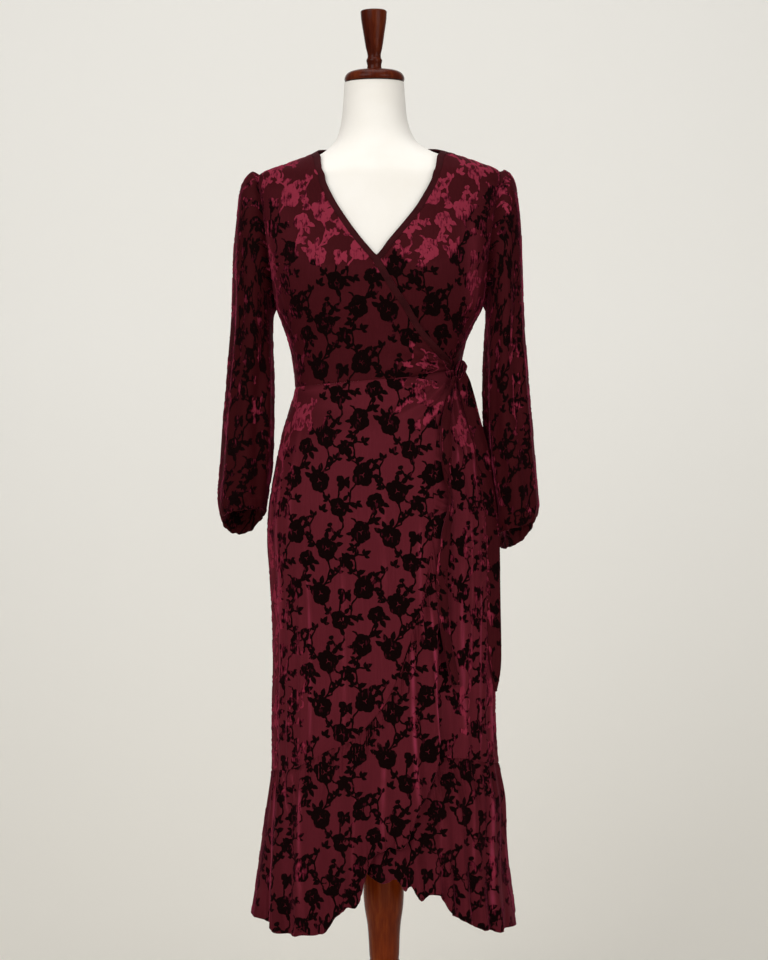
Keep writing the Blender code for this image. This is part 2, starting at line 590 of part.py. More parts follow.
def neckbands():
    """The plain bands that finish the neck edges; each lies in line with its panel."""
    right = edge_line(NECK_EDGE_RIGHT)
    right_in = moved_in(right, -BAND)
    left = edge_line(NECK_EDGE_LEFT)
    left_in = moved_in(left, BAND)
    back_in = back_neck_in(BAND)

    def right_point(u, v):
        angle, height = right_in(v) * (1 - u) + right(v) * u
        return raised(max(angle, -90 + SEAM_ANGLE), height, knot_pleat(angle, height))

    def left_point(u, v):
        angle, height = left(v) * (1 - u) + left_in(v) * u
        return raised(min(angle, 90 - SEAM_ANGLE), height, under_drop(angle, height))

    def back_point(u, v):
        angle, height = back_neck(u) * (1 - v) + back_in(u) * v
        return skin(min(max(angle, 90 + SEAM_ANGLE), 270 - SEAM_ANGLE), height)
    cloth("neckband_right", 1, EDGE_ROWS, right_point, "band")
    cloth("neckband_left", 1, EDGE_ROWS, left_point, "band")
    cloth("neckband_back", NECK_COLUMNS, 1, back_point, "band")


def rib_lines(ribs, side, at_side):
    """Seam and free edge of a flounce as lines held to a side seam, and its free edge's lift."""
    count = len(ribs) - 1
    keys = np.arange(count + 1) / count
    seam = np.array([(angle_at(rib.seam_across, rib.seam_height), rib.seam_height) for rib in ribs])
    edge = np.array([(angle_at(rib.edge_across, rib.edge_height), rib.edge_height) for rib in ribs])
    for line in (seam, edge):
        line[round(at_side * count)][0] = side
    return (lambda t: between(keys, seam, t), lambda t: between(keys, edge, t),
            lambda t: rib_lift(ribs, t * count))


def rib_lift(ribs, at):
    low = min(int(at), len(ribs) - 2)
    share = (1 - math.cos(math.pi * (at - low))) / 2
    return ribs[low].lift * (1 - share) + ribs[low + 1].lift * share


def over_lines():
    return rib_lines(OVER_RIBS, -90 + SEAM_ANGLE, 0)


def under_lines():
    return rib_lines(UNDER_RIBS, 90 - SEAM_ANGLE, 1)


def skirt_front_right():
    seam, _, _ = over_lines()
    seam_in = moved_in(seam, 2 * GAP)
    bend = OVER_BEND / (len(OVER_RIBS) - 1)
    side = -90 + SEAM_ANGLE
    bottom = lambda t: (seam_in(t * bend) if t > 0
                        else np.array((side, seam(0)[1] + 2 * GAP)))
    right = lambda t: seam_in(1 - (1 - bend) * t)
    corner = right(0)
    top = waist_to(side, corner, -GAP)
    left = straight((side, waist(-90) - GAP), bottom(0))
    place = patch(top, bottom, left, right)

    def point(u, v):
        angle, height = place(u, v)
        return raised(angle, height, skirt_fold(angle, height) + knot_pleat(angle, height))
    cloth("skirt_front_right", OVER_BEND, len(OVER_RIBS) - 1 - OVER_BEND, point)


def skirt_front_left():
    seam, _, _ = under_lines()
    seam_in = moved_in(seam, 2 * GAP)
    side = 90 - SEAM_ANGLE
    bottom = lambda t: (seam_in(t) if t < 1 else np.array((side, seam(1)[1] + 2 * GAP)))
    start = angle_at(-0.098, 1.075)
    top = waist_line(start, side, -GAP)
    place = patch(top, bottom, straight(top(0), bottom(0)), straight(top(1), bottom(1)))

    def point(u, v):
        angle, height = place(u, v)
        return raised(angle, height, skirt_fold(angle, height) + under_drop(angle, height))
    cloth("skirt_front_left", len(UNDER_RIBS) - 1, 13, point)


def back_seam(t, shift=0.0):
    angle = 90 + SEAM_ANGLE + (180 - 2 * SEAM_ANGLE) * t
    return np.array((angle, SIDE_LEFT_SEAM * (1 - t) + SIDE_RIGHT_SEAM * t + shift))


def skirt_back():
    top = waist_line(90 + SEAM_ANGLE, 270 - SEAM_ANGLE, -GAP)
    bottom = lambda t: back_seam(t, GAP)
    place = patch(top, bottom, straight(top(0), bottom(0)), straight(top(1), bottom(1)))

    def point(u, v):
        angle, height = place(u, v)
        return raised(angle, height, skirt_fold(angle, height))
    cloth("skirt_back", 16, 10, point)


def flat(angle, height):
    return 0.0


def flounce_point(seam, edge, lift, drop=flat, pleat=flat):
    """Points of a flounce: its waves grow from nothing at the seam to their lift at the edge."""
    def point(u, v):
        start, end = seam(u), edge(u)
        angle, height = start * (1 - v) + end * v
        wave = lift(u) * v ** 1.2
        base = skirt_fold(*start) * (1 - 0.7 * v) + pleat(*start) * (1 - v)
        return raised(angle, height, wave + base + drop(angle, height))
    return point


def flounces():
    seam, edge, lift = over_lines()
    cloth("flounce_front_right", 2 * (len(OVER_RIBS) - 1), 4,
          flounce_point(seam, edge, lift, pleat=knot_pleat))
    seam, edge, lift = under_lines()
    cloth("flounce_front_left", 2 * (len(UNDER_RIBS) - 1), 4,
          flounce_point(seam, edge, lift, under_drop))

    def back_edge(t):
        middle = math.sin(math.pi * t) ** 0.7
        sides = HEM_LEFT * (1 - t) + HEM_RIGHT * t
        scallop = BACK_SCALLOP * math.cos(math.tau * BACK_WAVES * t)
        height = sides + (HEM_BACK - sides) * middle + scallop * middle
        return np.array((back_seam(t)[0], height))

    def back_lift(t):
        uneven = 1 + 0.25 * math.sin(17 * t + 1)
        uneven *= BACK_SIDE_LIFT + (1 - BACK_SIDE_LIFT) * soft_step(3 * math.sin(math.pi * t) - 0.3)
        return BACK_WAVE_LIFT * uneven * (1 - math.cos(math.tau * BACK_WAVES * t)) / 2 + 0.001
    cloth("flounce_back", 4 * BACK_WAVES, 4,
          flounce_point(lambda t: back_seam(t, -GAP), back_edge, back_lift))


def sleeve_points(rows, arm, sign, fold_rows, cuff):
    """Points of a sleeve: armhole edge, sections down the arm, fold, and in again to the cuff."""
    middle_x, middle_y, cuff_low, cuff_radius = cuff
    count = len(rows)
    table = np.array(rows)

    def section_point(at, phi):
        out_x, out_z, in_x, in_z, depth, back = between(np.arange(count), table, at)
        side = sign * math.sin(math.radians(phi))
        ahead = math.cos(math.radians(phi))
        across = (out_x + in_x) / 2 + (out_x - in_x) / 2 * math.copysign(abs(side) ** 0.9, side)
        height = (out_z + in_z) / 2 + (out_z - in_z) / 2 * side
        return Vector((across, back - depth * math.copysign(abs(ahead) ** 0.9, ahead), height))

    def pleat(at, phi):
        cap = CAP_GATHER_DEPTH * (1 + math.cos(math.radians(phi * CAP_GATHERS + 30)))
        cap *= soft_step(1.4 - at / 3) * soft_step(0.5 + sign * math.sin(math.radians(phi)))
        few, many = SLEEVE_FOLDS
        fold = math.cos(math.radians(phi * few + 40)) + math.cos(math.radians(phi * many))
        length = soft_step((at - 2) / 6) * (1 - 0.4 * soft_step((at - count + 4) / 3))
        return cap + SLEEVE_FOLD_DEPTH * fold * length

    def point(u, v):
        phi = 360 * u
        at = round(v * (count + 4)) - 1
        if at <= -1:
            angle, height = armhole(arm, sign, phi, ARMHOLE_GAP)
            return skin(angle, height)
        if at <= count - 1:
            here = section_point(at, phi)
            heart = section_point(at, phi + 180).lerp(here, 0.5)
            away = (here - heart).normalized()
            return kept_off(here + away * pleat(at, phi))
        low = section_point(count - 1, phi)
        fold_height = float(between([row[0] for row in fold_rows],
                                    [row[1] for row in fold_rows], phi))
        heart = Vector((middle_x, middle_y, 0))
        spread = Vector((low.x, low.y, 0)) - heart
        if at == count + 3:
            return heart + spread.normalized() * cuff_radius + Vector((0, 0, cuff_low - GAP))
        share, above = FOLD_STEPS[at - count]
        return kept_off(heart + spread * share + Vector((0, 0, fold_height + above)))
    return point


def kept_off(point, clear=0.0040):
    """Moves a sleeve point sideways off the skirt where the two would touch."""
    if point.z > 1.0:
        return point
    right, left, front, back, square = section(point.z)
    half = (left + TAIL_ROOM if point.x > 0 else right) + clear
    reach = (front if point.y < 0 else back) + clear
    ratio = min(abs(point.y) / reach, 1.0)
    limit = half * (1 - ratio ** square) ** (1 / square)
    if abs(point.x) < limit:
        return Vector((math.copysign(limit, point.x), point.y, point.z))
    return point


def sleeves():
    for side, rows, arm, sign, fold_rows, cuff in (
            ("right", SLEEVE_RIGHT, RIGHT_ARMHOLE, -1, FOLD_RIGHT, CUFF_RIGHT),
            ("left", SLEEVE_LEFT, LEFT_ARMHOLE, 1, FOLD_LEFT, CUFF_LEFT)):
        cloth(f"sleeve_{side}", 24, len(rows) + 4,
              sleeve_points(rows, arm, sign, fold_rows, cuff), closed=True)
        middle_x, middle_y, low, radius = cuff

        def cuff_point(u, v):
            phi = math.tau * u
            height = low + CUFF_HEIGHT * (1 - v)
            return Vector((middle_x + radius * math.sin(phi), middle_y - radius * math.cos(phi),
                           height))
        cloth(f"cuff_{side}", 20, 1, cuff_point, "band", wall=0.002, closed=True)


def tail(name, rows, steps):
    """A hanging end of the tie: a narrow flat band that follows the skirt and twists a little."""
    table = np.array(rows)

    def point(u, v):
        angle, height, out, width, twist = between(np.arange(len(rows)), table,
                                                   v * (len(rows) - 1))
        middle = raised(angle, height, out)
        out_way = outward(angle, height)
        turn = math.radians(twist)
        across = Vector((0, 0, -1)).cross(out_way).normalized()
        across = across * math.cos(turn) + out_way * math.sin(turn)
        return middle + across * (u - 0.5) * width
    cloth(name, 2, steps, point, "velvet", wall=TAIL_WALL)


def tie():
    """The knot: a rounded lump with a wrap across it, and its two tails."""
    shape = bmesh.new()
    bmesh.ops.create_uvsphere(shape, u_segments=16, v_segments=10, radius=1.0)
    middle = raised(KNOT.angle, KNOT.height, KNOT.out)
    out_way = outward(KNOT.angle, KNOT.height)
    side_way = Vector((0, 0, 1)).cross(out_way).normalized()
    up_way = out_way.cross(side_way)
    for vert in shape.verts:
        side, ahead, up = vert.co
        pinch = 1 - 0.22 * math.exp(-(up / 0.35) ** 2) + 0.06 * math.cos(3 * math.atan2(side, ahead))
        lean = 0.25 * up
        vert.co = (middle + side_way * (side * pinch + lean) * KNOT_SIZE[0]
                   - out_way * ahead * pinch * KNOT_SIZE[1] + up_way * up * KNOT_SIZE[2])
    add_object("tie_knot", shape, "velvet")
    tail("tie_tail_front", TAIL_FRONT, 22)
    tail("tie_tail_side", TAIL_SIDE, 18)


def form_torso():
    """The dress form's body and neck: one smooth solid inside the dress."""
    heights = [row.height for row in BODY if row.height > FORM_BOTTOM + 0.02] + [FORM_BOTTOM]
    shape = bmesh.new()
    rings = []
    for height in heights:
        ring = []
        for index in range(TORSO_COLUMNS):
            angle = 360 * index / TORSO_COLUMNS
            tip = soft_step((abs(skin(angle, height).x) - 0.145) / 0.035)
            tip *= soft_step((height - 1.25) / 0.10) * soft_step((1.45 - height) / 0.02)
            ring.append(shape.verts.new(raised(angle, height, -FORM_EASE - TIP_EASE * tip)))
        rings.append(ring)
    for ring in (rings[0], rings[-1]):
        level = sum(vert.co.z for vert in ring) / TORSO_COLUMNS
        for vert in ring:
            vert.co.z = level
    for upper, lower in zip(rings, rings[1:]):
        for index in range(TORSO_COLUMNS):
            after = (index + 1) % TORSO_COLUMNS
            shape.faces.new((upper[index], lower[index], lower[after], upper[after]))
    shape.faces.new(rings[0])
    shape.faces.new(reversed(rings[-1]))
    bmesh.ops.recalc_face_normals(shape, faces=shape.faces)
    add_object("form_torso", shape, "form_cloth")


def stand():
    turned("form_neck_cap", NECK_CAP, "dark_wood", 20)
    turned("form_finial", FINIAL, "dark_wood", 16)
    turned("form_pole", POLE, "pole_wood", 18)
    turned("form_base", BASE, "pole_wood", 32)


def main():
    for old in list(bpy.context.scene.objects):
        bpy.data.objects.remove(old, do_unlink=True)
    form_torso()
    stand()
    bodice_front_left()
    bodice_front_right()
    bodice_back()
    neckbands()
    skirt_front_left()
    skirt_front_right()
    skirt_back()
    flounces()
    sleeves()
    tie()


main()
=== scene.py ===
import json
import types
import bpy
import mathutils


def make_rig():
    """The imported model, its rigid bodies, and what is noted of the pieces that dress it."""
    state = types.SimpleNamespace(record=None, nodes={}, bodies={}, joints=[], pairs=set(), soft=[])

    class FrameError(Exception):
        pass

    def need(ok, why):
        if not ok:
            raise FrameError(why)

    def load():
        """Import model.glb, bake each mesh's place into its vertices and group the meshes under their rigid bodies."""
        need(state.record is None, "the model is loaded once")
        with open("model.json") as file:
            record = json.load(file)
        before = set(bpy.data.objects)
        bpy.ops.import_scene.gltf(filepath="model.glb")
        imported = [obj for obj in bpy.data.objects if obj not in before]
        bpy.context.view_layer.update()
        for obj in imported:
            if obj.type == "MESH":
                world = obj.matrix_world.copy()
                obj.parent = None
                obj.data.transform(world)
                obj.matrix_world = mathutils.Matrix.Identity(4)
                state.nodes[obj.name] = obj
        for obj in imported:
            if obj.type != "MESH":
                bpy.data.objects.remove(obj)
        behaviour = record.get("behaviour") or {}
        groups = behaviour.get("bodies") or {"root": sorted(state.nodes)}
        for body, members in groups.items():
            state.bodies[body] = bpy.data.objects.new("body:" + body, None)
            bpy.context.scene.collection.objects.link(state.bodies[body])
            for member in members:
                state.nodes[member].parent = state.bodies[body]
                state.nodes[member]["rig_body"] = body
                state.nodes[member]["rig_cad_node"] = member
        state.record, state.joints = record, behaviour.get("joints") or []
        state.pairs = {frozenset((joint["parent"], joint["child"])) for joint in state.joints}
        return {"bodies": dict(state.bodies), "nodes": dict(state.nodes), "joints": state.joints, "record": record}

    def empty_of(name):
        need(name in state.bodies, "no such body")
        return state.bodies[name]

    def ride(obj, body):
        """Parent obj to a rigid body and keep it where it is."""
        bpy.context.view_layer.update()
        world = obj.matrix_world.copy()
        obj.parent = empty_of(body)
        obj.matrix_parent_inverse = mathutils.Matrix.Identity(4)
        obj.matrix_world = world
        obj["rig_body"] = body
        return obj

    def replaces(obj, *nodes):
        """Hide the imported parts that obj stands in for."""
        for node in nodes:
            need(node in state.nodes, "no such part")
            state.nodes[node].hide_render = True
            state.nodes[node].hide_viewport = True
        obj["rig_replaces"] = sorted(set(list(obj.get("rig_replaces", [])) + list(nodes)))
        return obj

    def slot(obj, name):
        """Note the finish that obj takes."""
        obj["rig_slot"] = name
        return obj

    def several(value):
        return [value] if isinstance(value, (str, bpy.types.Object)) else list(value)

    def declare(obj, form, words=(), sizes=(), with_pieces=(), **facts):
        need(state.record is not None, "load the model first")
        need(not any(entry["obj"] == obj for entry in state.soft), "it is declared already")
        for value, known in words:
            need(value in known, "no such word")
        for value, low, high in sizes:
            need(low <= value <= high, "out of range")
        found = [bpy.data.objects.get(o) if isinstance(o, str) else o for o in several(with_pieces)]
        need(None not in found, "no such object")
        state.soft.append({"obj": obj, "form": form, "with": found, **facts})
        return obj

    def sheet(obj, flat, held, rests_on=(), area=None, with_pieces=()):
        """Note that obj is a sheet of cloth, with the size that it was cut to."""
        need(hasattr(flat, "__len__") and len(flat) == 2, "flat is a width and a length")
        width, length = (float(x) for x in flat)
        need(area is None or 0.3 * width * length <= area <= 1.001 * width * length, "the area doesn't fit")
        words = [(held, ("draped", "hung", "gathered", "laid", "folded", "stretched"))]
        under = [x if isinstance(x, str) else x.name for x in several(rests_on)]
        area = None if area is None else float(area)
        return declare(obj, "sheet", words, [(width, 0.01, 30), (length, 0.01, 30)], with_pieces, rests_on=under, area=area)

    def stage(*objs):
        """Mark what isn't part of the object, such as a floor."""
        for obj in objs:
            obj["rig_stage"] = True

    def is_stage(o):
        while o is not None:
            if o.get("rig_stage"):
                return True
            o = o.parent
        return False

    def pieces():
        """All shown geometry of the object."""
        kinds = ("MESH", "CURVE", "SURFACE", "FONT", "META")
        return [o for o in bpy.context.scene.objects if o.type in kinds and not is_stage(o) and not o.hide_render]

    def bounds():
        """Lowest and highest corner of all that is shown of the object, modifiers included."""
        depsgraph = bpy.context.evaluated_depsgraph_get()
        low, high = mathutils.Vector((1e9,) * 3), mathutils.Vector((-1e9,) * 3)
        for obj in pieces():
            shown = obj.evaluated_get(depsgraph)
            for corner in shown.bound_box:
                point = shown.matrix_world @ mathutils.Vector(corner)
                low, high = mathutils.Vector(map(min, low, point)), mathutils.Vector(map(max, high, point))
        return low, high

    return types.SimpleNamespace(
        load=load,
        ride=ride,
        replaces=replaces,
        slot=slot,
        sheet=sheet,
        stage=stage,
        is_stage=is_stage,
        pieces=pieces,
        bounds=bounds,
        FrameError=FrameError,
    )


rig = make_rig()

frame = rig.load()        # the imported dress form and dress, one body named root
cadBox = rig.bounds()

import bpy
import bmesh
import json
import math
import numpy as np
from collections import namedtuple
from mathutils import Euler, Matrix, Vector
from mathutils.bvhtree import BVHTree

# A place on the dress is an angle round the body in degrees (0 front, 90 wearer's left, 180 back)
# and a height in metres. skin() turns it into a point; every panel is a sheet laid on that skin.

# curves


def between(keys, values, at):
    # smooth curve through values given at rising keys; at is one number or an array of them
    keys = np.asarray(keys, float)
    values = np.asarray(values, float)
    slopes = np.gradient(values, keys, axis=0)
    at = np.clip(np.asarray(at, float), keys[0], keys[-1])
    low = np.clip(np.searchsorted(keys, at, side="right") - 1, 0, len(keys) - 2)
    span = keys[low + 1] - keys[low]
    t = (at - keys[low]) / span
    more = (1,) * (values.ndim - 1)
    t, span = t.reshape(t.shape + more), span.reshape(span.shape + more)
    start = values[low] * (1 + 2 * t) * (1 - t) ** 2 + slopes[low] * span * t * (1 - t) ** 2
    return start + values[low + 1] * t * t * (3 - 2 * t) - slopes[low + 1] * span * t * t * (1 - t)


def softStep(value):
    value = np.clip(value, 0.0, 1.0)
    return value * value * (3 - 2 * value)


def unit(vectors):
    return vectors / np.maximum(np.linalg.norm(vectors, axis=-1, keepdims=True), 1e-12)


# the skin of the dress

# height, half widths to the wearer's right and left, depths to front and back, squareness (2 is an ellipse)
bodySections = np.array((
    (1.5605, 0.0555, 0.0545, 0.052, 0.054, 2.0),
    (1.5280, 0.0580, 0.0565, 0.052, 0.060, 2.0),
    (1.5000, 0.0610, 0.0595, 0.055, 0.066, 2.0),
    (1.4816, 0.0655, 0.0655, 0.058, 0.073, 2.0),
    (1.4670, 0.0730, 0.0750, 0.063, 0.081, 2.0),
    (1.4575, 0.0840, 0.0900, 0.067, 0.086, 2.0),
    (1.4520, 0.0920, 0.1015, 0.069, 0.089, 2.0),
    (1.4432, 0.1100, 0.1290, 0.073, 0.093, 2.0),
    (1.4314, 0.1430, 0.1630, 0.078, 0.097, 2.05),
    (1.4235, 0.1660, 0.1840, 0.082, 0.100, 2.1),
    (1.4165, 0.1830, 0.1965, 0.085, 0.102, 2.2),
    (1.4050, 0.1890, 0.2010, 0.088, 0.104, 2.3),
    (1.3700, 0.1895, 0.2000, 0.096, 0.107, 2.5),
    (1.3300, 0.1860, 0.1950, 0.106, 0.109, 2.55),
    (1.2900, 0.1795, 0.1870, 0.115, 0.108, 2.5),
    (1.2400, 0.1700, 0.1770, 0.121, 0.104, 2.4),
    (1.2000, 0.1605, 0.1690, 0.119, 0.099, 2.35),
    (1.1700, 0.1500, 0.1540, 0.113, 0.094, 2.3),
    (1.1470, 0.1426, 0.1430, 0.108, 0.090, 2.3),
    (1.1015, 0.1341, 0.1350, 0.101, 0.085, 2.3),
    (1.0725, 0.1325, 0.1380, 0.099, 0.087, 2.3),
    (1.0420, 0.1408, 0.1450, 0.102, 0.096, 2.3),
    (1.0017, 0.1535, 0.1560, 0.108, 0.108, 2.3),
    (0.9680, 0.1610, 0.1650, 0.112, 0.116, 2.3),
    (0.9310, 0.1680, 0.1690, 0.116, 0.122, 2.3),
    (0.8880, 0.1747, 0.1755, 0.119, 0.127, 2.3),
    (0.8350, 0.1780, 0.1805, 0.121, 0.130, 2.25),
    (0.7600, 0.1730, 0.1815, 0.121, 0.131, 2.2),
    (0.6560, 0.1705, 0.1812, 0.121, 0.132, 2.2),
    (0.5335, 0.1735, 0.1812, 0.123, 0.134, 2.2),
    (0.4640, 0.1750, 0.1860, 0.126, 0.137, 2.2),
    (0.4190, 0.1815, 0.1935, 0.131, 0.142, 2.2),
    (0.3290, 0.1945, 0.1965, 0.142, 0.155, 2.15),
    (0.2510, 0.2055, 0.2035, 0.152, 0.166, 2.1),
    (0.2000, 0.2135, 0.2085, 0.158, 0.174, 2.1),
))[::-1]
bust = {"across": 0.084, "height": 1.250, "spread": 0.050, "lift": 0.013}


def section(height):
    return np.moveaxis(between(bodySections[:, 0], bodySections[:, 1:], height), -1, 0)


def skin(angle, height):
    angle, height = np.broadcast_arrays(np.asarray(angle, float), np.asarray(height, float))
    right, left, front, back, square = section(height)
    side, ahead = np.sin(np.radians(angle)), np.cos(np.radians(angle))
    across = np.sign(side) * np.abs(side) ** (2 / square) * np.where(side > 0, left, right)
    along = np.sign(ahead) * np.abs(ahead) ** (2 / square) * np.where(ahead > 0, front, back)
    reach = (np.abs(across) - bust["across"]) ** 2 + (height - bust["height"]) ** 2
    swell = bust["lift"] * np.exp(-reach / bust["spread"] ** 2) * np.minimum(ahead * 3, 1)
    along = along + np.where(ahead > 0, swell, 0.0)
    return np.stack((across, -along, height), axis=-1)


def outward(angle, height):
    roundBody = skin(angle + 1.0, height) - skin(angle - 1.0, height)
    upward = skin(angle, height + 0.002) - skin(angle, height - 0.002)
    return unit(np.cross(roundBody, upward))


def raised(angle, height, lift):
    return skin(angle, height) + outward(angle, height) * np.asarray(lift)[..., None]


def angleAt(across, height):
    right, left, front, back, square = section(height)
    half = np.where(np.asarray(across) > 0, left, right)
    share = np.minimum(np.abs(across) / half, 1.0) ** (square / 2)
    return np.sign(across) * np.degrees(np.arcsin(share))


# distance round the skin from the middle of the front, read from a table made once
arcRow, arcColumn = 0.01, 2.0        # metres and degrees between its places
arcHeights = np.arange(0.19, 1.57, arcRow)
arcAngles = np.arange(-280.0, 281.0, arcColumn)
arcSteps = skin(arcAngles[None, :], arcHeights[:, None])
arcSteps = np.linalg.norm(np.diff(arcSteps, axis=1), axis=2)
arcTable = np.concatenate((np.zeros((len(arcHeights), 1)), np.cumsum(arcSteps, axis=1)), axis=1)
arcTable -= arcTable[:, [int(np.argmin(np.abs(arcAngles)))]]


def clothUv(angle, height):
    row = np.clip((height - arcHeights[0]) / arcRow, 0, len(arcHeights) - 1.001)
    column = np.clip((angle - arcAngles[0]) / arcColumn, 0, len(arcAngles) - 1.001)
    r, c = row.astype(int), column.astype(int)
    p, q = row - r, column - c
    across = ((arcTable[r, c] * (1 - q) + arcTable[r, c + 1] * q) * (1 - p)
              + (arcTable[r + 1, c] * (1 - q) + arcTable[r + 1, c + 1] * q) * p)
    return np.stack((across, height), axis=-1)


def backUv(angle, height):
    # back pieces lie straight along the middle of the back
    uvs = clothUv(angle, height)
    uvs[..., 0] += 0.5 - clothUv(np.full_like(height, 180.0), height)[..., 0]
    return uvs


# lines and patches on the skin


def lineThrough(table):
    places = np.array([(float(angleAt(across, height)), height) for across, height in table])
    steps = np.linalg.norm(np.diff(skin(places[:, 0], places[:, 1]), axis=0), axis=1)
    keys = np.concatenate(([0.0], np.cumsum(steps))) / steps.sum()
    return lambda t: between(keys, places, t)


def straight(start, end):
    start, end = np.array(start, float), np.array(end, float)
    return lambda t: start * (1 - np.asarray(t)[..., None]) + end * np.asarray(t)[..., None]


def joined(pieces, shares):
    ends = np.cumsum(shares)

    def line(t):
        t = np.asarray(t, float)
        places = np.zeros(t.shape + (2,))
        for piece, share, end in zip(pieces, shares, ends):
            here = t >= end - share - 1e-9
            places[here] = piece(np.clip((t[here] - end + share) / share, 0, 1))
        return places
    return line


def movedIn(line, distance):
    # the line moved over the skin, to the left of its direction as seen from outside
    def shifted(t):
        t = np.asarray(t, float)
        here = line(t)
        step = line(np.minimum(t + 0.01, 1.0)) - line(np.maximum(t - 0.01, 0.0))
        angle, height = here[..., 0], here[..., 1]
        byAngle = skin(angle + 0.5, height) - skin(angle - 0.5, height)
        byHeight = (skin(angle, height + 0.001) - skin(angle, height - 0.001)) * 500
        heading = byAngle * step[..., :1] + byHeight * step[..., 1:]
        aside = unit(np.cross(outward(angle, height), heading)) * distance
        aa = (byAngle * byAngle).sum(-1)
        ab = (byAngle * byHeight).sum(-1)
        bb = (byHeight * byHeight).sum(-1)
        one, two = (byAngle * aside).sum(-1), (byHeight * aside).sum(-1)
        scale = aa * bb - ab * ab
        return here + np.stack(((one * bb - two * ab) / scale, (two * aa - one * ab) / scale), -1)
    return shifted


def patch(top, bottom, left, right):
    # places inside four border lines; top and bottom run across, left and right run down
    def place(u, v):
        one, two = u[..., None], v[..., None]
        across = top(u) * (1 - two) + bottom(u) * two
        down = left(v) * (1 - one) + right(v) * one
        zero, full = np.zeros(1), np.ones(1)
        corners = ((top(zero) * (1 - one) + top(full) * one) * (1 - two)
                   + (bottom(zero) * (1 - one) + bottom(full) * one) * two)
        return across + down - corners
    return place


# the cut of the dress

cut = {
    "under": 0.0036,           # how far the under front lies inside the over front
    "underHem": 0.0060,        # the same at the flounces
    "underFade": (0.008, 0.035),     # how far past the over front's edge it comes up, and over what
    "underHemFade": (0.72, 0.15),    # height at which it turns into the hem's, and over what
    "underStart": (-0.098, 1.075),   # inner corner of the under skirt, across and height
    "band": 0.010,             # width of the neck bands
    "armholeDepth": 0.046,     # half of an armhole, front to back
    "armShare": 0.6,           # share of a panel's side that is armhole
    "backNeckRise": 0.0095,
}
sideRightSeam, sideLeftSeam = 0.4635, 0.4715     # flounce seam at the side seams
hemRight, hemLeft, hemBack = 0.2384, 0.2126, 0.2620
rightArmhole, leftArmhole = (1.4155, 1.1990), (1.4165, 1.2070)     # top and bottom

# neck edges from the shoulder down: distance across and height
neckEdgeRight = (
    (-0.0893, 1.4535), (-0.0868, 1.4350), (-0.0835, 1.4140), (-0.0775, 1.3930), (-0.0668, 1.3700),
    (-0.0510, 1.3430), (-0.0284, 1.3100), (-0.0004, 1.2766), (0.0159, 1.2511), (0.0353, 1.2182),
    (0.0568, 1.1850), (0.0696, 1.1630), (0.0890, 1.1388), (0.1060, 1.1200), (0.1165, 1.1060),
)
neckEdgeLeft = (
    (0.1000, 1.4527), (0.0978, 1.4350), (0.0942, 1.4150), (0.0878, 1.3960), (0.0770, 1.3760),
    (0.0629, 1.3531), (0.0422, 1.3269), (0.0212, 1.3022), (-0.0004, 1.2766), (-0.0180, 1.2480),
    (-0.0370, 1.2190), (-0.0560, 1.1880), (-0.0740, 1.1560), (-0.0890, 1.1260), (-0.0980, 1.0990),
)
# where the over front ends, height and distance across, from the bottom up
overEdge = (
    (0.2000, 0.036), (0.3400, 0.040), (0.4116, 0.064), (0.4961, 0.090), (0.7771, 0.092),
    (0.8926, 0.118), (1.0285, 0.116), (1.1165, 0.112), (1.1630, 0.070), (1.2182, 0.036),
    (1.2766, 0.000), (1.3200, -0.060),
)
waistSeam = (      # angle, height
    (-90, 1.0735), (-50, 1.0755), (0, 1.0822), (62, 1.0975), (90, 1.1030),
    (180, 1.0860), (270, 1.0735),
)
# the flounces, a row for each rib: distance across and height of its end on the seam, the same on the
# free edge, and how far it stands out
overRibs = (
    (-0.1755, 0.4635, -0.2095, 0.2362, 0.002),
    (-0.1715, 0.4652, -0.1935, 0.2372, 0.010),
    (-0.1670, 0.4668, -0.1800, 0.2340, 0.001),
    (-0.1600, 0.4685, -0.1665, 0.2185, 0.014),
    (-0.1440, 0.4720, -0.1470, 0.2200, 0.001),
    (-0.1265, 0.4793, -0.1290, 0.2190, 0.014),
    (-0.1060, 0.4902, -0.1090, 0.2180, 0.002),
    (-0.0851, 0.5036, -0.0900, 0.2260, 0.011),
    (-0.0700, 0.5080, -0.0740, 0.2450, 0.001),
    (-0.0540, 0.5155, -0.0560, 0.2660, 0.012),
    (-0.0383, 0.5248, -0.0400, 0.2660, 0.001),
    (-0.0242, 0.5402, -0.0265, 0.3120, 0.010),
    (-0.0116, 0.5540, -0.0110, 0.3450, 0.001),
    (0.0057, 0.5755, 0.0060, 0.3550, 0.009),
    (0.0232, 0.6110, 0.0205, 0.3515, 0.001),
    (0.0360, 0.6450, 0.0360, 0.3600, 0.003),
    (0.0488, 0.6806, 0.0556, 0.4116, 0.013),
    (0.0585, 0.7115, 0.0706, 0.4377, 0.002),
    (0.0666, 0.7378, 0.0867, 0.4961, 0.011),
    (0.0731, 0.7688, 0.0863, 0.5996, 0.002),
    (0.0781, 0.7998, 0.0880, 0.7077, 0.006),
    (0.0832, 0.8385, 0.0920, 0.7771, 0.001),
    (0.0852, 0.8773, 0.1126, 0.8600, 0.005),
    (0.0857, 0.9161, 0.1159, 0.8980, 0.001),
    (0.0882, 0.9642, 0.1050, 0.9545, 0.004),
    (0.0940, 1.0060, 0.1089, 1.0008, 0.001),
    (0.1010, 1.0323, 0.1133, 1.0285, 0.003),
    (0.1100, 1.0740, 0.1186, 1.0700, 0.001),
)
overBend = 13      # the rib at which the seam turns up towards the knot
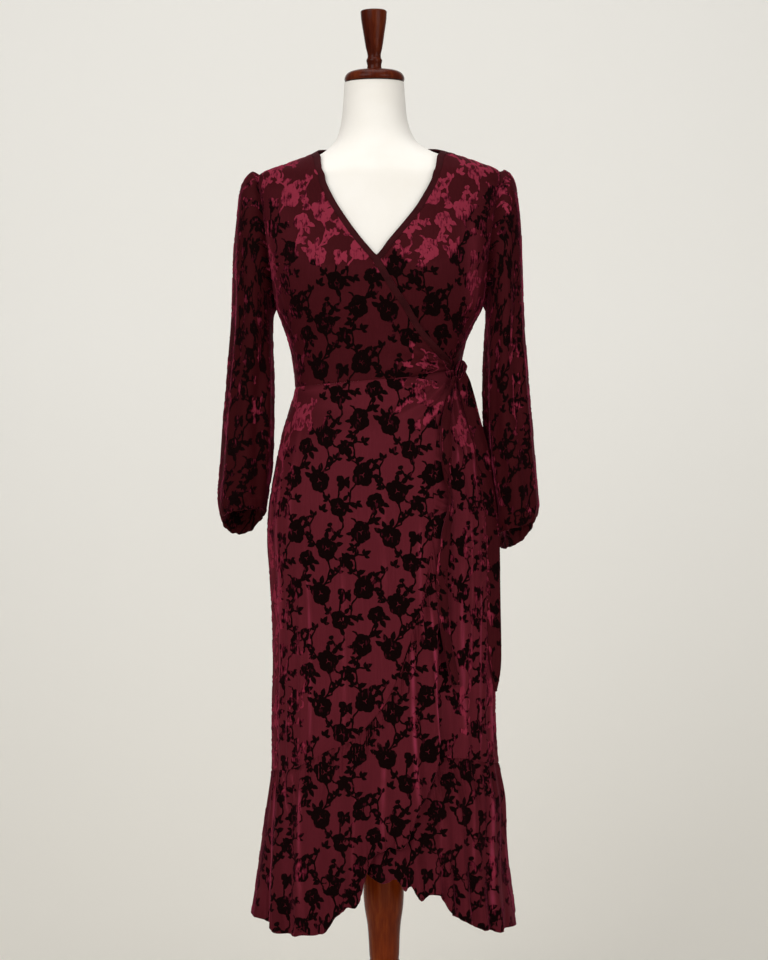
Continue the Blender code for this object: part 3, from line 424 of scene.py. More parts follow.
underRibs = (
    (-0.0513, 0.6119, -0.0480, 0.3400, 0.000),
    (-0.0297, 0.5992, -0.0250, 0.3150, 0.000),
    (-0.0097, 0.5835, 0.0000, 0.3000, 0.002),
    (0.0056, 0.5631, 0.0200, 0.3040, 0.000),
    (0.0163, 0.5444, 0.0340, 0.2870, 0.004),
    (0.0300, 0.5220, 0.0430, 0.2980, 0.000),
    (0.0407, 0.5131, 0.0570, 0.2746, 0.009),
    (0.0561, 0.5020, 0.0700, 0.2790, 0.001),
    (0.0716, 0.4941, 0.0840, 0.2780, 0.010),
    (0.0810, 0.4925, 0.0940, 0.2700, 0.001),
    (0.0902, 0.4908, 0.1040, 0.2500, 0.012),
    (0.1020, 0.4900, 0.1150, 0.2400, 0.001),
    (0.1134, 0.4890, 0.1280, 0.2350, 0.012),
    (0.1260, 0.4880, 0.1400, 0.2300, 0.001),
    (0.1400, 0.4845, 0.1540, 0.2173, 0.012),
    (0.1540, 0.4810, 0.1640, 0.2190, 0.001),
    (0.1670, 0.4772, 0.1760, 0.2118, 0.013),
    (0.1790, 0.4738, 0.1890, 0.2193, 0.002),
    (0.1860, 0.4715, 0.2050, 0.2126, 0.004),
)
backFlounce = {"waves": 12, "lift": 0.014, "sideShare": 0.35, "scallop": 0.006}
# long soft folds of the skirt, by angle; first is the height at which a fold starts to grow
Fold = namedtuple("Fold", "atWaist atHem halfWidth depth first")
skirtFolds = [Fold(*row) for row in (
    (-86, -84, 3.0, 0.0030, 1.000),
    (-76, -73, 2.4, 0.0034, 1.030),
    (-66, -64, 3.0, 0.0028, 0.930),
    (-57, -55, 2.2, 0.0034, 0.900),
    (-47, -43, 2.4, 0.0036, 0.860),
    (-33, -35, 3.4, 0.0022, 0.760),
    (-17, -22, 4.0, 0.0024, 0.830),
    (2, -6, 3.6, 0.0020, 0.720),
    (17, 8, 3.0, 0.0024, 0.820),
    (30, 20, 2.2, 0.0030, 0.900),
    (42, 32, 2.0, 0.0030, 1.020),
    (51, 42, 2.2, 0.0034, 1.060),
    (60, 51, 2.0, 0.0032, 1.050),
    (68, 59, 2.0, 0.0034, 1.060),
    (76, 68, 2.4, 0.0034, 1.020),
    (85, 79, 2.6, 0.0032, 0.980),
    (100, 101, 3.2, 0.0040, 0.900),
    (110, 112, 2.4, 0.0032, 1.000),
    (121, 124, 3.4, 0.0040, 0.960),
    (136, 141, 4.0, 0.0040, 0.880),
    (147, 150, 2.4, 0.0028, 0.960),
    (160, 163, 3.4, 0.0034, 0.930),
    (176, 178, 4.0, 0.0036, 0.870),
    (190, 188, 2.4, 0.0030, 0.980),
    (203, 200, 3.4, 0.0036, 0.930),
    (218, 214, 3.8, 0.0040, 0.890),
    (232, 228, 2.6, 0.0034, 0.970),
    (248, 245, 4.0, 0.0040, 0.900),
    (261, 260, 2.6, 0.0034, 0.990),
)]
foldRun = {"from": 1.08, "length": 0.85, "growth": 0.25}       # heights in metres
knot = {"angle": 69.0, "height": 1.0985, "out": 0.0050, "edgeAngle": 62, "pleats": 11,
        "pleatDepth": 0.0034, "pleatStart": 0.035, "pleatEnd": 0.17, "pleatFade": 0.12, "reach": 0.13,
        "halfSizes": (0.0175, 0.0066, 0.0150), "pinch": 0.22, "wrap": 0.16, "crease": 0.035}


def skirtFold(angle, height):
    lift = np.zeros(np.broadcast(angle, height).shape)
    hemShare = np.clip((foldRun["from"] - height) / foldRun["length"], 0, 1)
    for fold in skirtFolds:
        middle = fold.atWaist + (fold.atHem - fold.atWaist) * hemShare
        away = (angle - middle + 180) % 360 - 180
        growth = softStep((fold.first - height) / foldRun["growth"])
        lift += fold.depth * growth * np.exp(-(away / fold.halfWidth) ** 2)
    return lift


def knotPleat(angle, height):
    along = np.radians(angle - knot["edgeAngle"]) * knot["reach"]
    up = height - knot["height"]
    reach = np.hypot(along, up)
    fade = softStep(reach / knot["pleatStart"]) * softStep((knot["pleatEnd"] - reach) / knot["pleatFade"])
    return knot["pleatDepth"] * fade * (1 + np.cos(knot["pleats"] * 2 * np.arctan2(up, along)))


def underDrop(angle, height):
    table = np.array(overEdge)
    ahead = skin(angle, height)[..., 0] - between(table[:, 0], table[:, 1], height)
    start, over = cut["underFade"]
    covered = 1 - softStep((ahead - start) / over)
    start, over = cut["underHemFade"]
    deepest = cut["under"] + (cut["underHem"] - cut["under"]) * softStep((start - height) / over)
    return -deepest * covered


# soft troughs and ridges between two places, fading at both ends; sizes in millimetres,
# the last column is how much painted sheen, a painted highlight, the pile and the ground take along them
Crease = namedtuple("Crease", "fromAngle fromHeight toAngle toHeight halfWidth depth bow nap")
ridges = [Crease(*row) for row in (
    (13.7, 0.690, 14.9, 0.395, 2.8, 2.0, 1, 1.00),
    (23.2, 0.745, 26.8, 0.480, 2.0, 1.6, -2, 0.95),
    (17.9, 0.870, 20.0, 0.660, 2.4, 1.2, 2, 0.50),
    (26.2, 0.672, 27.9, 0.500, 2.2, 1.0, 1, 0.45),
    (64.5, 1.086, 54.5, 0.950, 3.0, 1.6, 3, 0.90),
    (69.0, 1.070, 59.5, 0.880, 3.0, 1.8, 2, 0.80),
    (56.0, 1.082, 45.0, 0.930, 3.0, 1.6, 3, 0.75),
    (74.0, 1.060, 70.0, 0.840, 2.6, 1.6, 1, 0.60),
    (43.1, 0.810, 44.6, 0.500, 2.8, 1.2, 2, 0.70),
    (51.0, 0.900, 49.0, 0.600, 2.4, 1.0, -2, 0.45),
    (59.9, 0.790, 57.0, 0.470, 3.0, 1.4, 1, 0.75),
    (72.0, 0.700, 70.0, 0.475, 3.0, 1.4, 0, 0.80),
    (81.0, 0.860, 80.0, 0.500, 3.4, 1.4, 1, 0.60),
    (61.9, 0.475, 53.4, 0.222, 3.6, 1.2, 0, 1.00),
    (82.6, 0.470, 72.9, 0.228, 3.6, 1.2, 0, 0.90),
    (45.6, 0.475, 43.0, 0.250, 2.6, 1.0, 1, 0.50),
    (26.0, 0.450, 25.7, 0.275, 2.6, 1.0, 1, 0.45),
    (-72.2, 0.474, -53.6, 0.222, 4.2, 1.2, 0, 1.00),
    (-44.4, 0.478, -34.9, 0.228, 3.4, 1.2, 1, 0.90),
    (-62.0, 0.474, -50.0, 0.400, 3.0, 1.0, 1, 0.70),
    (-54.0, 0.476, -46.0, 0.420, 2.6, 1.0, 0, 0.60),
    (1.0, 0.500, 0.0, 0.345, 2.6, 1.0, 1, 0.60),
    (-11.0, 0.460, -12.9, 0.290, 2.4, 1.0, 1, 0.40),
    (-64.1, 0.800, -68.9, 0.475, 3.0, 1.4, 1, 0.60),
    (-38.5, 0.840, -37.7, 0.480, 2.6, 1.2, 1, 0.60),
    (-64.7, 1.010, -62.9, 0.690, 3.4, 1.4, 2, 0.60),
    (-52.0, 1.045, -50.0, 0.820, 5.0, 1.0, 2, 0.35),
    (-76.0, 1.050, -74.0, 0.760, 4.0, 1.4, 1, 0.60),
    (-17.2, 0.810, -17.2, 0.505, 2.4, 1.0, 1, 0.35),
    (1.3, 0.930, 2.1, 0.730, 2.4, 0.9, 1, 0.25),
    (-84.0, 1.230, -64.0, 1.150, 4.0, -1.6, 2, 0.40),
    (-86.0, 1.205, -76.0, 1.110, 4.0, -1.4, -2, 0.35),
    (-80.0, 1.300, -74.0, 1.180, 5.0, 1.2, 2, 0.40),
    (-68.0, 1.345, -76.0, 1.180, 17.0, 0.0, 1, 0.70),
    (46.0, 1.345, 62.0, 1.180, 17.0, 0.0, 1, 0.80),
    (-66.0, 1.330, -62.0, 1.190, 5.0, 1.0, 1, 0.30),
    (84.0, 1.215, 74.0, 1.150, 4.0, -1.4, 2, 0.40),
    (78.0, 1.300, 75.0, 1.170, 5.0, 1.2, 2, 0.55),
    (66.0, 1.320, 64.0, 1.180, 5.0, 1.0, 1, 0.40),
    (86.0, 1.180, 78.0, 1.115, 4.0, -1.2, 1, 0.30),
    (99.0, 0.960, 100.0, 0.540, 3.4, 1.4, 2, 0.70),
    (117.0, 0.900, 119.0, 0.480, 3.0, 1.2, -2, 0.50),
    (131.0, 0.820, 134.0, 0.480, 3.4, 1.4, 2, 0.70),
    (156.0, 1.020, 158.0, 0.700, 3.0, 1.2, 1, 0.40),
    (168.0, 0.760, 170.0, 0.480, 3.0, 1.2, 1, 0.60),
    (196.0, 0.930, 195.0, 0.560, 3.4, 1.4, -2, 0.60),
    (224.0, 0.980, 221.0, 0.500, 3.0, 1.2, 2, 0.70),
    (251.0, 0.900, 249.0, 0.520, 3.4, 1.4, 1, 0.60),
    (107.0, 0.474, 105.0, 0.240, 3.4, 1.2, 0, 0.80),
    (139.0, 0.472, 141.0, 0.260, 3.4, 1.2, 0, 0.70),
    (178.0, 0.470, 180.0, 0.270, 3.4, 1.2, 0, 0.80),
    (214.0, 0.472, 212.0, 0.260, 3.4, 1.2, 0, 0.70),
    (243.0, 0.470, 247.0, 0.250, 3.4, 1.2, 0, 0.80),
    (104.0, 1.240, 120.0, 1.180, 4.0, -1.6, 2, 0.35),
    (256.0, 1.235, 240.0, 1.170, 4.0, -1.6, -2, 0.35),
    (150.0, 1.200, 172.0, 1.120, 5.0, 1.2, 3, 0.30),
    (212.0, 1.190, 192.0, 1.115, 5.0, 1.2, -3, 0.30),
)]


def creaseShare(angle, height, crease):
    perDegree, taper = 2.5, 0.2        # millimetres of skin in a degree, share of the length that fades
    runX = (crease.toAngle - crease.fromAngle) * perDegree
    runY = (crease.toHeight - crease.fromHeight) * 1000
    length = math.hypot(runX, runY)
    x = ((angle - crease.fromAngle + 180) % 360 - 180) * perDegree
    y = (height - crease.fromHeight) * 1000
    along = (x * runX + y * runY) / length ** 2
    beside = (x * runY - y * runX) / length
    beside = beside - crease.bow * np.sin(np.pi * np.clip(along, 0, 1))
    fade = softStep(along / taper) * softStep((1 - along) / taper)
    return fade * np.exp(-(beside / crease.halfWidth) ** 2)


def creased(angle, height):
    return sum(row.depth * creaseShare(angle, height, row) for row in ridges) / 1000


def ridgePaintedSheen(angle, height):
    # painted highlight along the ridges, uneven along their length
    uneven = 0.75 + 0.25 * np.sin(height * 97 + angle) * np.sin(height * 41)
    lit = sum(row.nap * creaseShare(angle, height, row) for row in ridges)
    return np.clip(lit * uneven, 0, 1)


def waist(angle):
    table = np.array(waistSeam)
    return between(table[:, 0], table[:, 1], angle)


def waistLine(start, end):
    return lambda t: np.stack((start + (end - start) * np.asarray(t),
                               waist(start + (end - start) * np.asarray(t))), -1)


def waistTo(start, corner):
    rise = corner[1] - waist(corner[0])
    seam = waistLine(start, corner[0])
    return lambda t: seam(t) + np.stack((np.zeros(np.shape(t)),
                                         rise * softStep(np.asarray(t) * 4 - 3)), -1)


def armhole(ends, sign, phi, smaller=0.0):
    top, bottom = ends
    phi = np.radians(phi)
    height = (top + bottom) / 2 + ((top - bottom) / 2 - smaller) * sign * np.sin(phi)
    depth = (cut["armholeDepth"] - smaller) * np.cos(phi)
    right, left, front, back, square = section(height)
    reach = np.where(depth > 0, front, back)
    angle = np.degrees(np.arccos(np.minimum(np.abs(depth) / reach, 1.0) ** (square / 2)))
    angle = np.where(depth < 0, 180 - angle, angle)
    return np.stack((sign * angle, height), -1)


def backNeck(t):
    t = np.asarray(t, float)
    rise = cut["backNeckRise"] * np.sin(np.pi * t) ** 0.8
    ends = neckEdgeLeft[0][1] * (1 - t) + neckEdgeRight[0][1] * t
    return np.stack((90 + 180 * t, ends + rise), -1)


def backNeckIn(distance):
    inner = movedIn(backNeck, -distance)
    first = backNeck(0.0)[0] - inner(0.0)[0]
    last = backNeck(1.0)[0] - inner(1.0)[0]
    return lambda t: inner(t) + np.stack((first * (1 - np.asarray(t)) + last * np.asarray(t),
                                          np.zeros(np.shape(t))), -1)


def ribLines(ribs, side, atSide):
    count = len(ribs) - 1
    keys = np.arange(count + 1) / count
    table = np.array(ribs)
    seam = np.stack((angleAt(table[:, 0], table[:, 1]), table[:, 1]), -1)
    edge = np.stack((angleAt(table[:, 2], table[:, 3]), table[:, 3]), -1)
    for line in (seam, edge):
        line[round(atSide * count), 0] = side

    def lift(t):
        at = np.asarray(t) * count
        low = np.minimum(at.astype(int), count - 1)
        share = (1 - np.cos(np.pi * (at - low))) / 2
        return table[low, 4] * (1 - share) + table[low + 1, 4] * share
    return (lambda t: between(keys, seam, t)), (lambda t: between(keys, edge, t)), lift


overLines = ribLines(overRibs, -90, 0)
underLines = ribLines(underRibs, 90, 1)

# the vine pattern, in millimetres within one repeat; each column of repeats drops by half

vine = {"width": 112, "height": 176, "pile": 0.0007, "edge": 0.9, "twigWidth": 2.7,
        "leafEvery": 19.0, "leafSize": 12.0, "leafLean": 50, "leafHalf": 0.28, "collar": 11.5}
# kind, across, up, size and turn in degrees; a spray is three leaves on one stalk
vineMotifs = (
    ("bloom", 28, 27, 18.0, 10), ("bloom", 83, 52, 17.0, 44), ("bloom", 49, 91, 15.5, 75),
    ("bloom", 17, 133, 17.5, 23), ("bloom", 87, 141, 18.0, 5), ("bloom", 106, 100, 13.5, 60),
    ("side", 60, 6, 13.5, 200), ("side", 55, 130, 12.0, 120),
    ("spray", 46, 46, 13, 62), ("spray", 4, 41, 12, 150), ("spray", 104, 68, 13, 28),
    ("spray", 32, 104, 12, 140), ("spray", 104, 158, 12, 40), ("spray", 70, 165, 12, 118),
    ("spray", 46, 166, 13, 65), ("spray", 72, 29, 13, 200), ("spray", 88, 16, 13, 30),
    ("spray", 22, 86, 13, 60), ("spray", 76, 96, 12, -30), ("spray", 8, 78, 12, 120),
    ("bud", 34, 64, 4.5, 20),
)
# from and to, across and up, and how far the twig bows to its left
vineTwigs = (
    (28, 27, 46, 47, 4), (46, 47, 49, 91, -8), (49, 91, 32, 104, 3), (32, 104, 17, 133, 3),
    (17, 133, 28, 203, -10), (83, 52, 68, 74, -3), (83, 52, 104, 67, 3), (49, 91, 76, 96, 4),
    (68, 93, 87, 141, 8), (87, 141, 83, 228, 12), (83, 52, 106, 100, -5), (87, 141, 104, 157, -3),
    (28, 27, 60, 6, -5), (28, 27, 4, 41, 4), (17, 133, 34, 151, 4), (49, 91, 55, 130, 4),
    (60, 6, 88, 16, 4), (4, 41, 8, 78, 5), (87, 141, 70, 164, -3), (34, 151, 46, 166, 2),
    (83, 52, 72, 30, 3), (46, 47, 34, 64, 2),
)


def motifShape(bm, columns, rows, place):
    # a grid turned into a motif: place(u, v) gives across, up and height in millimetres
    grid = bmesh.ops.create_grid(bm, x_segments=columns, y_segments=rows, size=0.5)
    for vert in grid["verts"]:
        vert.co = place(vert.co.x + 0.5, vert.co.y + 0.5)


def addRing(bm, columns, radius, outline, inner, steps):
    # a ring of pile from its inner edge to its outline, low at both
    last = len(steps) - 1

    def place(u, v):
        turn, row = -2 * math.pi * u, round(v * last)
        start = inner(turn)
        reach = radius * (start + (outline(turn) - start) * steps[row])
        rise = 0 if row == last or (row == 0 and start > 0.05) else vine["pile"] * 1000
        return Vector((reach * math.cos(turn), reach * math.sin(turn), rise))
    motifShape(bm, columns, last, place)


def addLeaf(bm, size, turn, bend, across=0.0, up=0.0):
    # a pointed leaf from its stalk at across, up
    def place(u, v):
        half = vine["leafHalf"] * math.sin(math.pi * u ** 0.8) ** 0.85
        at = (-1.0, 0.0, 1.0)[round(v * 2)]
        spot = Vector((size * u, size * (half * at + bend * math.sin(math.pi * u)), 0))
        spot.rotate(Euler((0, 0, math.radians(turn))))
        return spot + Vector((across, up, vine["pile"] * 1000 if at == 0 and 0 < u < 1 else 0))
    motifShape(bm, 6, 2, place)


def addMotif(bm, kind, across, up, size, turn):
    edge = vine["edge"] / size
    first = len(bm.verts)
    if kind == "bloom":
        petal = lambda a: abs(math.cos(2.5 * a + 0.3 * math.sin(a + turn)))
        addRing(bm, 48, size, lambda a: (0.79 + 0.21 * petal(a) ** 0.5)
                * (1 + 0.07 * math.sin(2 * a + turn) + 0.06 * math.sin(3 * a + 2 * turn))
                + 0.03 * math.sin(13 * a + turn) * petal(a),
                lambda a: 0.06 + 0.20 * abs(math.cos(1.5 * a + turn)) ** 12, (0.0, edge, 1 - edge * 1.3, 1.0))
        for way in (-34, 2, 37):
            lead = way + 4 * turn
            reach, at = size * 0.80, math.radians(lead)
            leaf = vine["collar"] * (1 + 0.3 * math.sin(2.3 * way + turn))
            addLeaf(bm, leaf, lead, 0.05, reach * math.cos(at), reach * math.sin(at))
    elif kind == "side":
        addRing(bm, 30, size, lambda a: (0.50 + 0.45 * abs(math.cos(1.5 * a)) ** 0.7)
                * (1 + 0.12 * math.sin(2 * a + turn)) + 0.04 * math.sin(9 * a),
                lambda a: 0.0, (0.0, 1 - edge * 1.3, 1.0))
        for way in (60, -65, 180):
            addLeaf(bm, size * 0.95, way, 0.06, size * 0.4 * math.cos(way), size * 0.4 * math.sin(way))
    elif kind == "bud":
        addRing(bm, 10, size, lambda a: 0.62 + 0.38 * abs(math.cos(a)), lambda a: 0.0, (0.0, 0.7, 1.0))
    else:
        for share, lean in ((1.0, 2), (0.80, 60), (0.76, -56)):
            addLeaf(bm, size * share, lean, 0.06 if lean >= 0 else -0.06)
    bm.verts.ensure_lookup_table()
    made = bm.verts[first:]
    bmesh.ops.rotate(bm, verts=made, cent=(0, 0, 0), matrix=Matrix.Rotation(math.radians(turn), 3, "Z"))
    bmesh.ops.translate(bm, verts=made, vec=(across, up, 0))


def twigTrim(x, y):
    # a twig stops short of the middle of a bloom
    for kind, across, up, size, turn in vineMotifs:
        if kind == "bloom" and abs(across - x) < 1 and abs(up - y) % vine["height"] < 1:
            return size * 0.45
    return 0.0


def addTwig(bm, x0, y0, x1, y1, bow):
    # knobby and a little kinked, as a woody stem, with leaves to either side in turn
    start, end = Vector((x0, y0, 0)), Vector((x1, y1, 0))
    way = (end - start).normalized()
    start += way * twigTrim(x0, y0)
    end -= way * twigTrim(x1, y1)
    run = end - start
    aside = Vector((-run.y, run.x, 0)).normalized()
    pieces = max(4, round(run.length / 4.5))
    middle = lambda u: start + run * u + aside * 4 * bow * u * (1 - u)

    def place(u, v):
        step = round(u * pieces)
        kink = (0, 0.9, 0.1, -0.8)[step % 4] if 0 < step < pieces else 0
        half = vine["twigWidth"] / 2 * (1.22, 0.90, 0.95)[step % 3]
        rise = vine["pile"] * 900 if abs(v - 0.5) < 0.1 else 0
        return middle(u) + aside * (kink - (0.5 - v) * 2 * half) + Vector((0, 0, rise))
    motifShape(bm, pieces, 2, place)
    count = int(run.length / vine["leafEvery"])
    for leaf in range(count):
        u = (leaf + 0.55) / count
        way = 1 if (leaf + round(x0)) % 2 else -1
        lean = vine["leafLean"] * (1 + 0.25 * math.sin(x1 + leaf))
        along = math.degrees(math.atan2(run.y, run.x)) - way * lean
        size = vine["leafSize"] * (1 + 0.22 * math.sin(2.3 * leaf + y0))
        spot = middle(u)
        addLeaf(bm, size, along, 0.07 * way, spot.x, spot.y)


def vineRepeat():
    # one repeat of the pattern as a flat bmesh, in metres, height of the pile in z
    bm = bmesh.new()
    for motif in vineMotifs:
        addMotif(bm, *motif)
    for twig in vineTwigs:
        addTwig(bm, *twig)
    bmesh.ops.remove_doubles(bm, verts=bm.verts, dist=0.0005)
    bmesh.ops.scale(bm, verts=bm.verts, vec=(0.001, 0.001, 0.001))
    mesh = bpy.data.meshes.new("vineRepeat")
    bm.to_mesh(mesh)
    bm.free()
    return mesh


# materials


def startMaterial(name, look):
    material = bpy.data.materials.new(name)
    material.use_nodes = True
    shader = material.node_tree.nodes["Principled BSDF"]
    shader.inputs["Roughness"].default_value = look["roughness"]
    shader.inputs["Specular IOR Level"].default_value = look.get("gloss", 0.5)
    shader.inputs["Sheen Weight"].default_value = look.get("sheen", 0.0)
    shader.inputs["Sheen Roughness"].default_value = look.get("sheenRoughness", 0.5)
    shader.inputs["Sheen Tint"].default_value = (*look.get("sheenTint", (1, 1, 1)), 1)
    return material, shader


def addNode(material, kind, settings=(), **inputs):
    # inputs are numbers or sockets; an underscore in a name stands for a space
    tree = material.node_tree
    node = tree.nodes.new(kind)
    for setting, value in dict(settings).items():
        setattr(node, setting, value)
    for name, value in inputs.items():
        numbered = name.startswith("input")
        socket = node.inputs[int(name[5:]) if numbered else name.replace("_", " ")]
        if isinstance(value, bpy.types.NodeSocket):
            tree.links.new(value, socket)
        else:
            socket.default_value = value
    return node


def addRamp(material, factor, stops):
    ramp = addNode(material, "ShaderNodeValToRGB", input0=factor)
    while len(ramp.color_ramp.elements) < len(stops):
        ramp.color_ramp.elements.new(0.5)
    for element, (position, colour) in zip(ramp.color_ramp.elements, stops):
        element.position = position
        element.color = (*colour, 1)
    return ramp.outputs["Color"]


def finishMaterial(material, shader, colour, height, depth, strength):
    # the colour and a bump of the given depth in metres
    links = material.node_tree.links
    links.new(colour, shader.inputs["Base Color"])
    bump = addNode(material, "ShaderNodeBump", Height=height, Distance=depth, Strength=strength)
    links.new(bump.outputs["Normal"], shader.inputs["Normal"])
    return material


def noise(material, coordinates, scale, detail=3.0, roughness=0.5):
    return addNode(material, "ShaderNodeTexNoise", Vector=coordinates, Scale=scale, Detail=detail,
                   Roughness=roughness).outputs["Fac"]


def maths(material, operation, one, two=0.0, three=0.0):
    return addNode(material, "ShaderNodeMath", {"operation": operation},
                   input0=one, input1=two, input2=three).outputs["Value"]


def objectPlace(material):
    return addNode(material, "ShaderNodeTexCoord").outputs["Object"]


def stretched(material, place, upright, start=(0.0, 0.0, 0.0)):
    return addNode(material, "ShaderNodeMapping", Vector=place, Location=start,
                   Scale=(1.0, 1.0, upright)).outputs["Vector"]


def attribute(material, name):
    return addNode(material, "ShaderNodeAttribute", {"attribute_name": name}).outputs["Fac"]


def mapRange(material, value, low, high, top=1.0):
    return addNode(material, "ShaderNodeMapRange", Value=value, From_Min=low, From_Max=high,
                   To_Max=top).outputs["Result"]


# painted sheen: the pile's colour runs from its dark end-on colour through a painted half-lit colour to a painted lit
# colour, by the painted sheen share of each place
pileLook = {
    "roughness": 0.9, "gloss": 0.04,
    "facing": (0.0034, 0.0005, 0.0004),      # pile seen end on
    "leaning": (0.085, 0.0060, 0.0150),
    "brushed": (0.215, 0.0200, 0.0400),      # painted light: the pile's lit colour, where it tilts up to the light and on fold flanks
    "tilt": (0.165, 0.225), "fold": (0.22, 0.44), "sideShare": 0.42, "sideFrom": (0.50, 0.40),
    "reach": 5,
    "sheen": 0.5, "sheenRoughness": 0.28, "sheenTint": (1.0, 0.10, 0.24),
    "streaks": 330.0, "streakStretch": 0.22, "patches": 75.0, "mottle": (0.36, 0.62),
    "level": (-0.10, 0.55, 1.05), "leaningAt": 0.40, "fibres": 1600.0, "fibreDepth": 0.0004,
    "fibreStrength": 0.7,
}


def pileMaterial():
    material, shader = startMaterial("velvetPile", pileLook)
    place = objectPlace(material)
    # painted sheen: the pile's painted lit colour comes up in patches and in short upright streaks, fewer where the
    # painted sheen share is low
    streak = noise(material, stretched(material, place, pileLook["streakStretch"]), pileLook["streaks"], 2.0)
    mottle = maths(material, "MULTIPLY_ADD", noise(material, place, pileLook["patches"], 3.0), 0.5,
                   maths(material, "MULTIPLY", streak, 0.5))
    mottle = mapRange(material, mottle, *pileLook["mottle"])
    level = maths(material, "ADD", attribute(material, "nap"), maths(material, "SUBTRACT", mottle, 1.0))
    share = mapRange(material, level, *pileLook["level"])
    stops = ((0.0, pileLook["facing"]), (pileLook["leaningAt"], pileLook["leaning"]),
             (1.0, pileLook["brushed"]))
    colour = addRamp(material, share, stops)
    return finishMaterial(material, shader, colour, noise(material, place, pileLook["fibres"], 2.0),
                          pileLook["fibreDepth"], pileLook["fibreStrength"])


groundLook = {
    "roughness": 0.75, "gloss": 0.04,
    "deep": (0.034, 0.0026, 0.0038),
    "plain": (0.092, 0.0095, 0.0158),
    "warm": (0.118, 0.0130, 0.0215),
    "bright": (0.240, 0.0260, 0.0560),       # painted highlight along a ridge
    "sheen": 0.12, "sheenRoughness": 0.3, "sheenTint": (1.0, 0.15, 0.30),
    "cloud": 9.0, "cloudShare": 0.30, "slub": 420.0, "slubStretch": 0.05, "slubShare": 0.22,
    "backingLess": 0.26, "toneShare": 0.66, "shineShare": 0.55, "plainAt": 0.56, "warmAt": 0.66,
    "weave": 1500.0, "weaveDepth": 0.00012, "weaveStrength": 0.5,
}


def groundMaterial():
    # the burnt-out ground: a fine sheer weave, lighter where the cream form shows through it, with painted shade where
    # it tilts up and on the bodice and the sleeves, and a painted highlight along the ridges
    look = groundLook
    material, shader = startMaterial("burntGround", look)
    place = objectPlace(material)
    cloud = noise(material, place, look["cloud"], 3.0)
    slub = noise(material, stretched(material, place, look["slubStretch"]), look["slub"], 2.0)
    tone = maths(material, "MULTIPLY_ADD", slub, look["slubShare"],
                 maths(material, "MULTIPLY", cloud, look["cloudShare"]))
    # each piece's share: partly the cream form showing through, partly painted shade and light
    tone = maths(material, "ADD", tone,
                 maths(material, "SUBTRACT", attribute(material, "backing"), look["backingLess"]))
    # painted highlight along the ridges, from the shine share
    tone = maths(material, "MULTIPLY_ADD", tone, look["toneShare"],
                 maths(material, "MULTIPLY", attribute(material, "shine"), look["shineShare"]))
    colour = addRamp(material, tone, ((0.0, look["deep"]), (look["plainAt"], look["plain"]),
                                      (look["warmAt"], look["warm"]), (1.0, look["bright"])))
    uv = addNode(material, "ShaderNodeUVMap", {"uv_map": "cloth"}).outputs["UV"]
    threads = [addNode(material, "ShaderNodeTexWave", {"bands_direction": way}, Vector=uv,
                       Scale=look["weave"] / 6.283).outputs["Fac"] for way in ("X", "Y")]
    return finishMaterial(material, shader, colour, maths(material, "MULTIPLY", *threads),
                          look["weaveDepth"], look["weaveStrength"])


bandLook = {"roughness": 0.75, "gloss": 0.08, "sheen": 0.05, "sheenRoughness": 0.3,
            "sheenTint": (1.0, 0.15, 0.3), "colour": (0.024, 0.0016, 0.0026),
            "worn": (0.040, 0.0034, 0.0052), "patches": 60.0, "stops": (0.3, 0.75),
            "grain": 900.0, "grainDepth": 0.0003, "grainStrength": 0.5}


def bandMaterial():
    material, shader = startMaterial("plainBand", bandLook)
    place = objectPlace(material)
    colour = addRamp(material, noise(material, place, bandLook["patches"], 4.0),
                     list(zip(bandLook["stops"], (bandLook["colour"], bandLook["worn"]))))
    return finishMaterial(material, shader, colour, noise(material, place, bandLook["grain"], 2.0),
                          bandLook["grainDepth"], bandLook["grainStrength"])


formLook = {"roughness": 0.88, "sheen": 0.05, "cream": (0.86, 0.825, 0.765), "shade": (0.82, 0.78, 0.71),
            "patches": 14.0, "stops": (0.3, 0.7), "knit": 1100.0, "knitStretch": 0.35, "knitDepth": 0.0004,
            "knitStrength": 0.45}


def formMaterial():
    # close-fitting cream jersey: fine vertical ribs of knit
    material, shader = startMaterial("creamJersey", formLook)
    place = objectPlace(material)
    colour = addRamp(material, noise(material, place, formLook["patches"], 4.0),
                     list(zip(formLook["stops"], (formLook["shade"], formLook["cream"]))))
    knit = noise(material, stretched(material, place, formLook["knitStretch"]), formLook["knit"], 2.0)
    return finishMaterial(material, shader, colour, knit, formLook["knitDepth"], formLook["knitStrength"])


woodLooks = {
    "darkWood": {"deep": (0.024, 0.0022, 0.0006), "plain": (0.068, 0.0085, 0.0018),
                 "light": (0.130, 0.0240, 0.0060), "roughness": 0.26, "gloss": 0.1, "grain": 26.0},
    "poleWood": {"deep": (0.110, 0.0120, 0.0008), "plain": (0.230, 0.0320, 0.0022),
                 "light": (0.370, 0.0760, 0.0080), "roughness": 0.26, "gloss": 0.1, "grain": 22.0},
}
woodGrain = {"stretch": 0.09, "start": (0.11, 0.07, 0.0), "finer": 9, "streakShare": 0.45, "less": 0.22,
             "stops": (0.32, 0.52, 0.74), "depth": 0.0003, "strength": 0.25}


def woodMaterial(name):
    look, grain = woodLooks[name], woodGrain
    material, shader = startMaterial(name, look)
    place = stretched(material, objectPlace(material), grain["stretch"], grain["start"])
    figure = noise(material, place, look["grain"], 5.0, 0.6)
    streaks = noise(material, place, look["grain"] * grain["finer"], 4.0, 0.6)
    tone = maths(material, "MULTIPLY_ADD", streaks, grain["streakShare"],
                 maths(material, "SUBTRACT", figure, grain["less"]))
    colours = [look[shade] for shade in ("deep", "plain", "light")]
    colour = addRamp(material, tone, list(zip(grain["stops"], colours)))
    return finishMaterial(material, shader, colour, streaks, grain["depth"], grain["strength"])


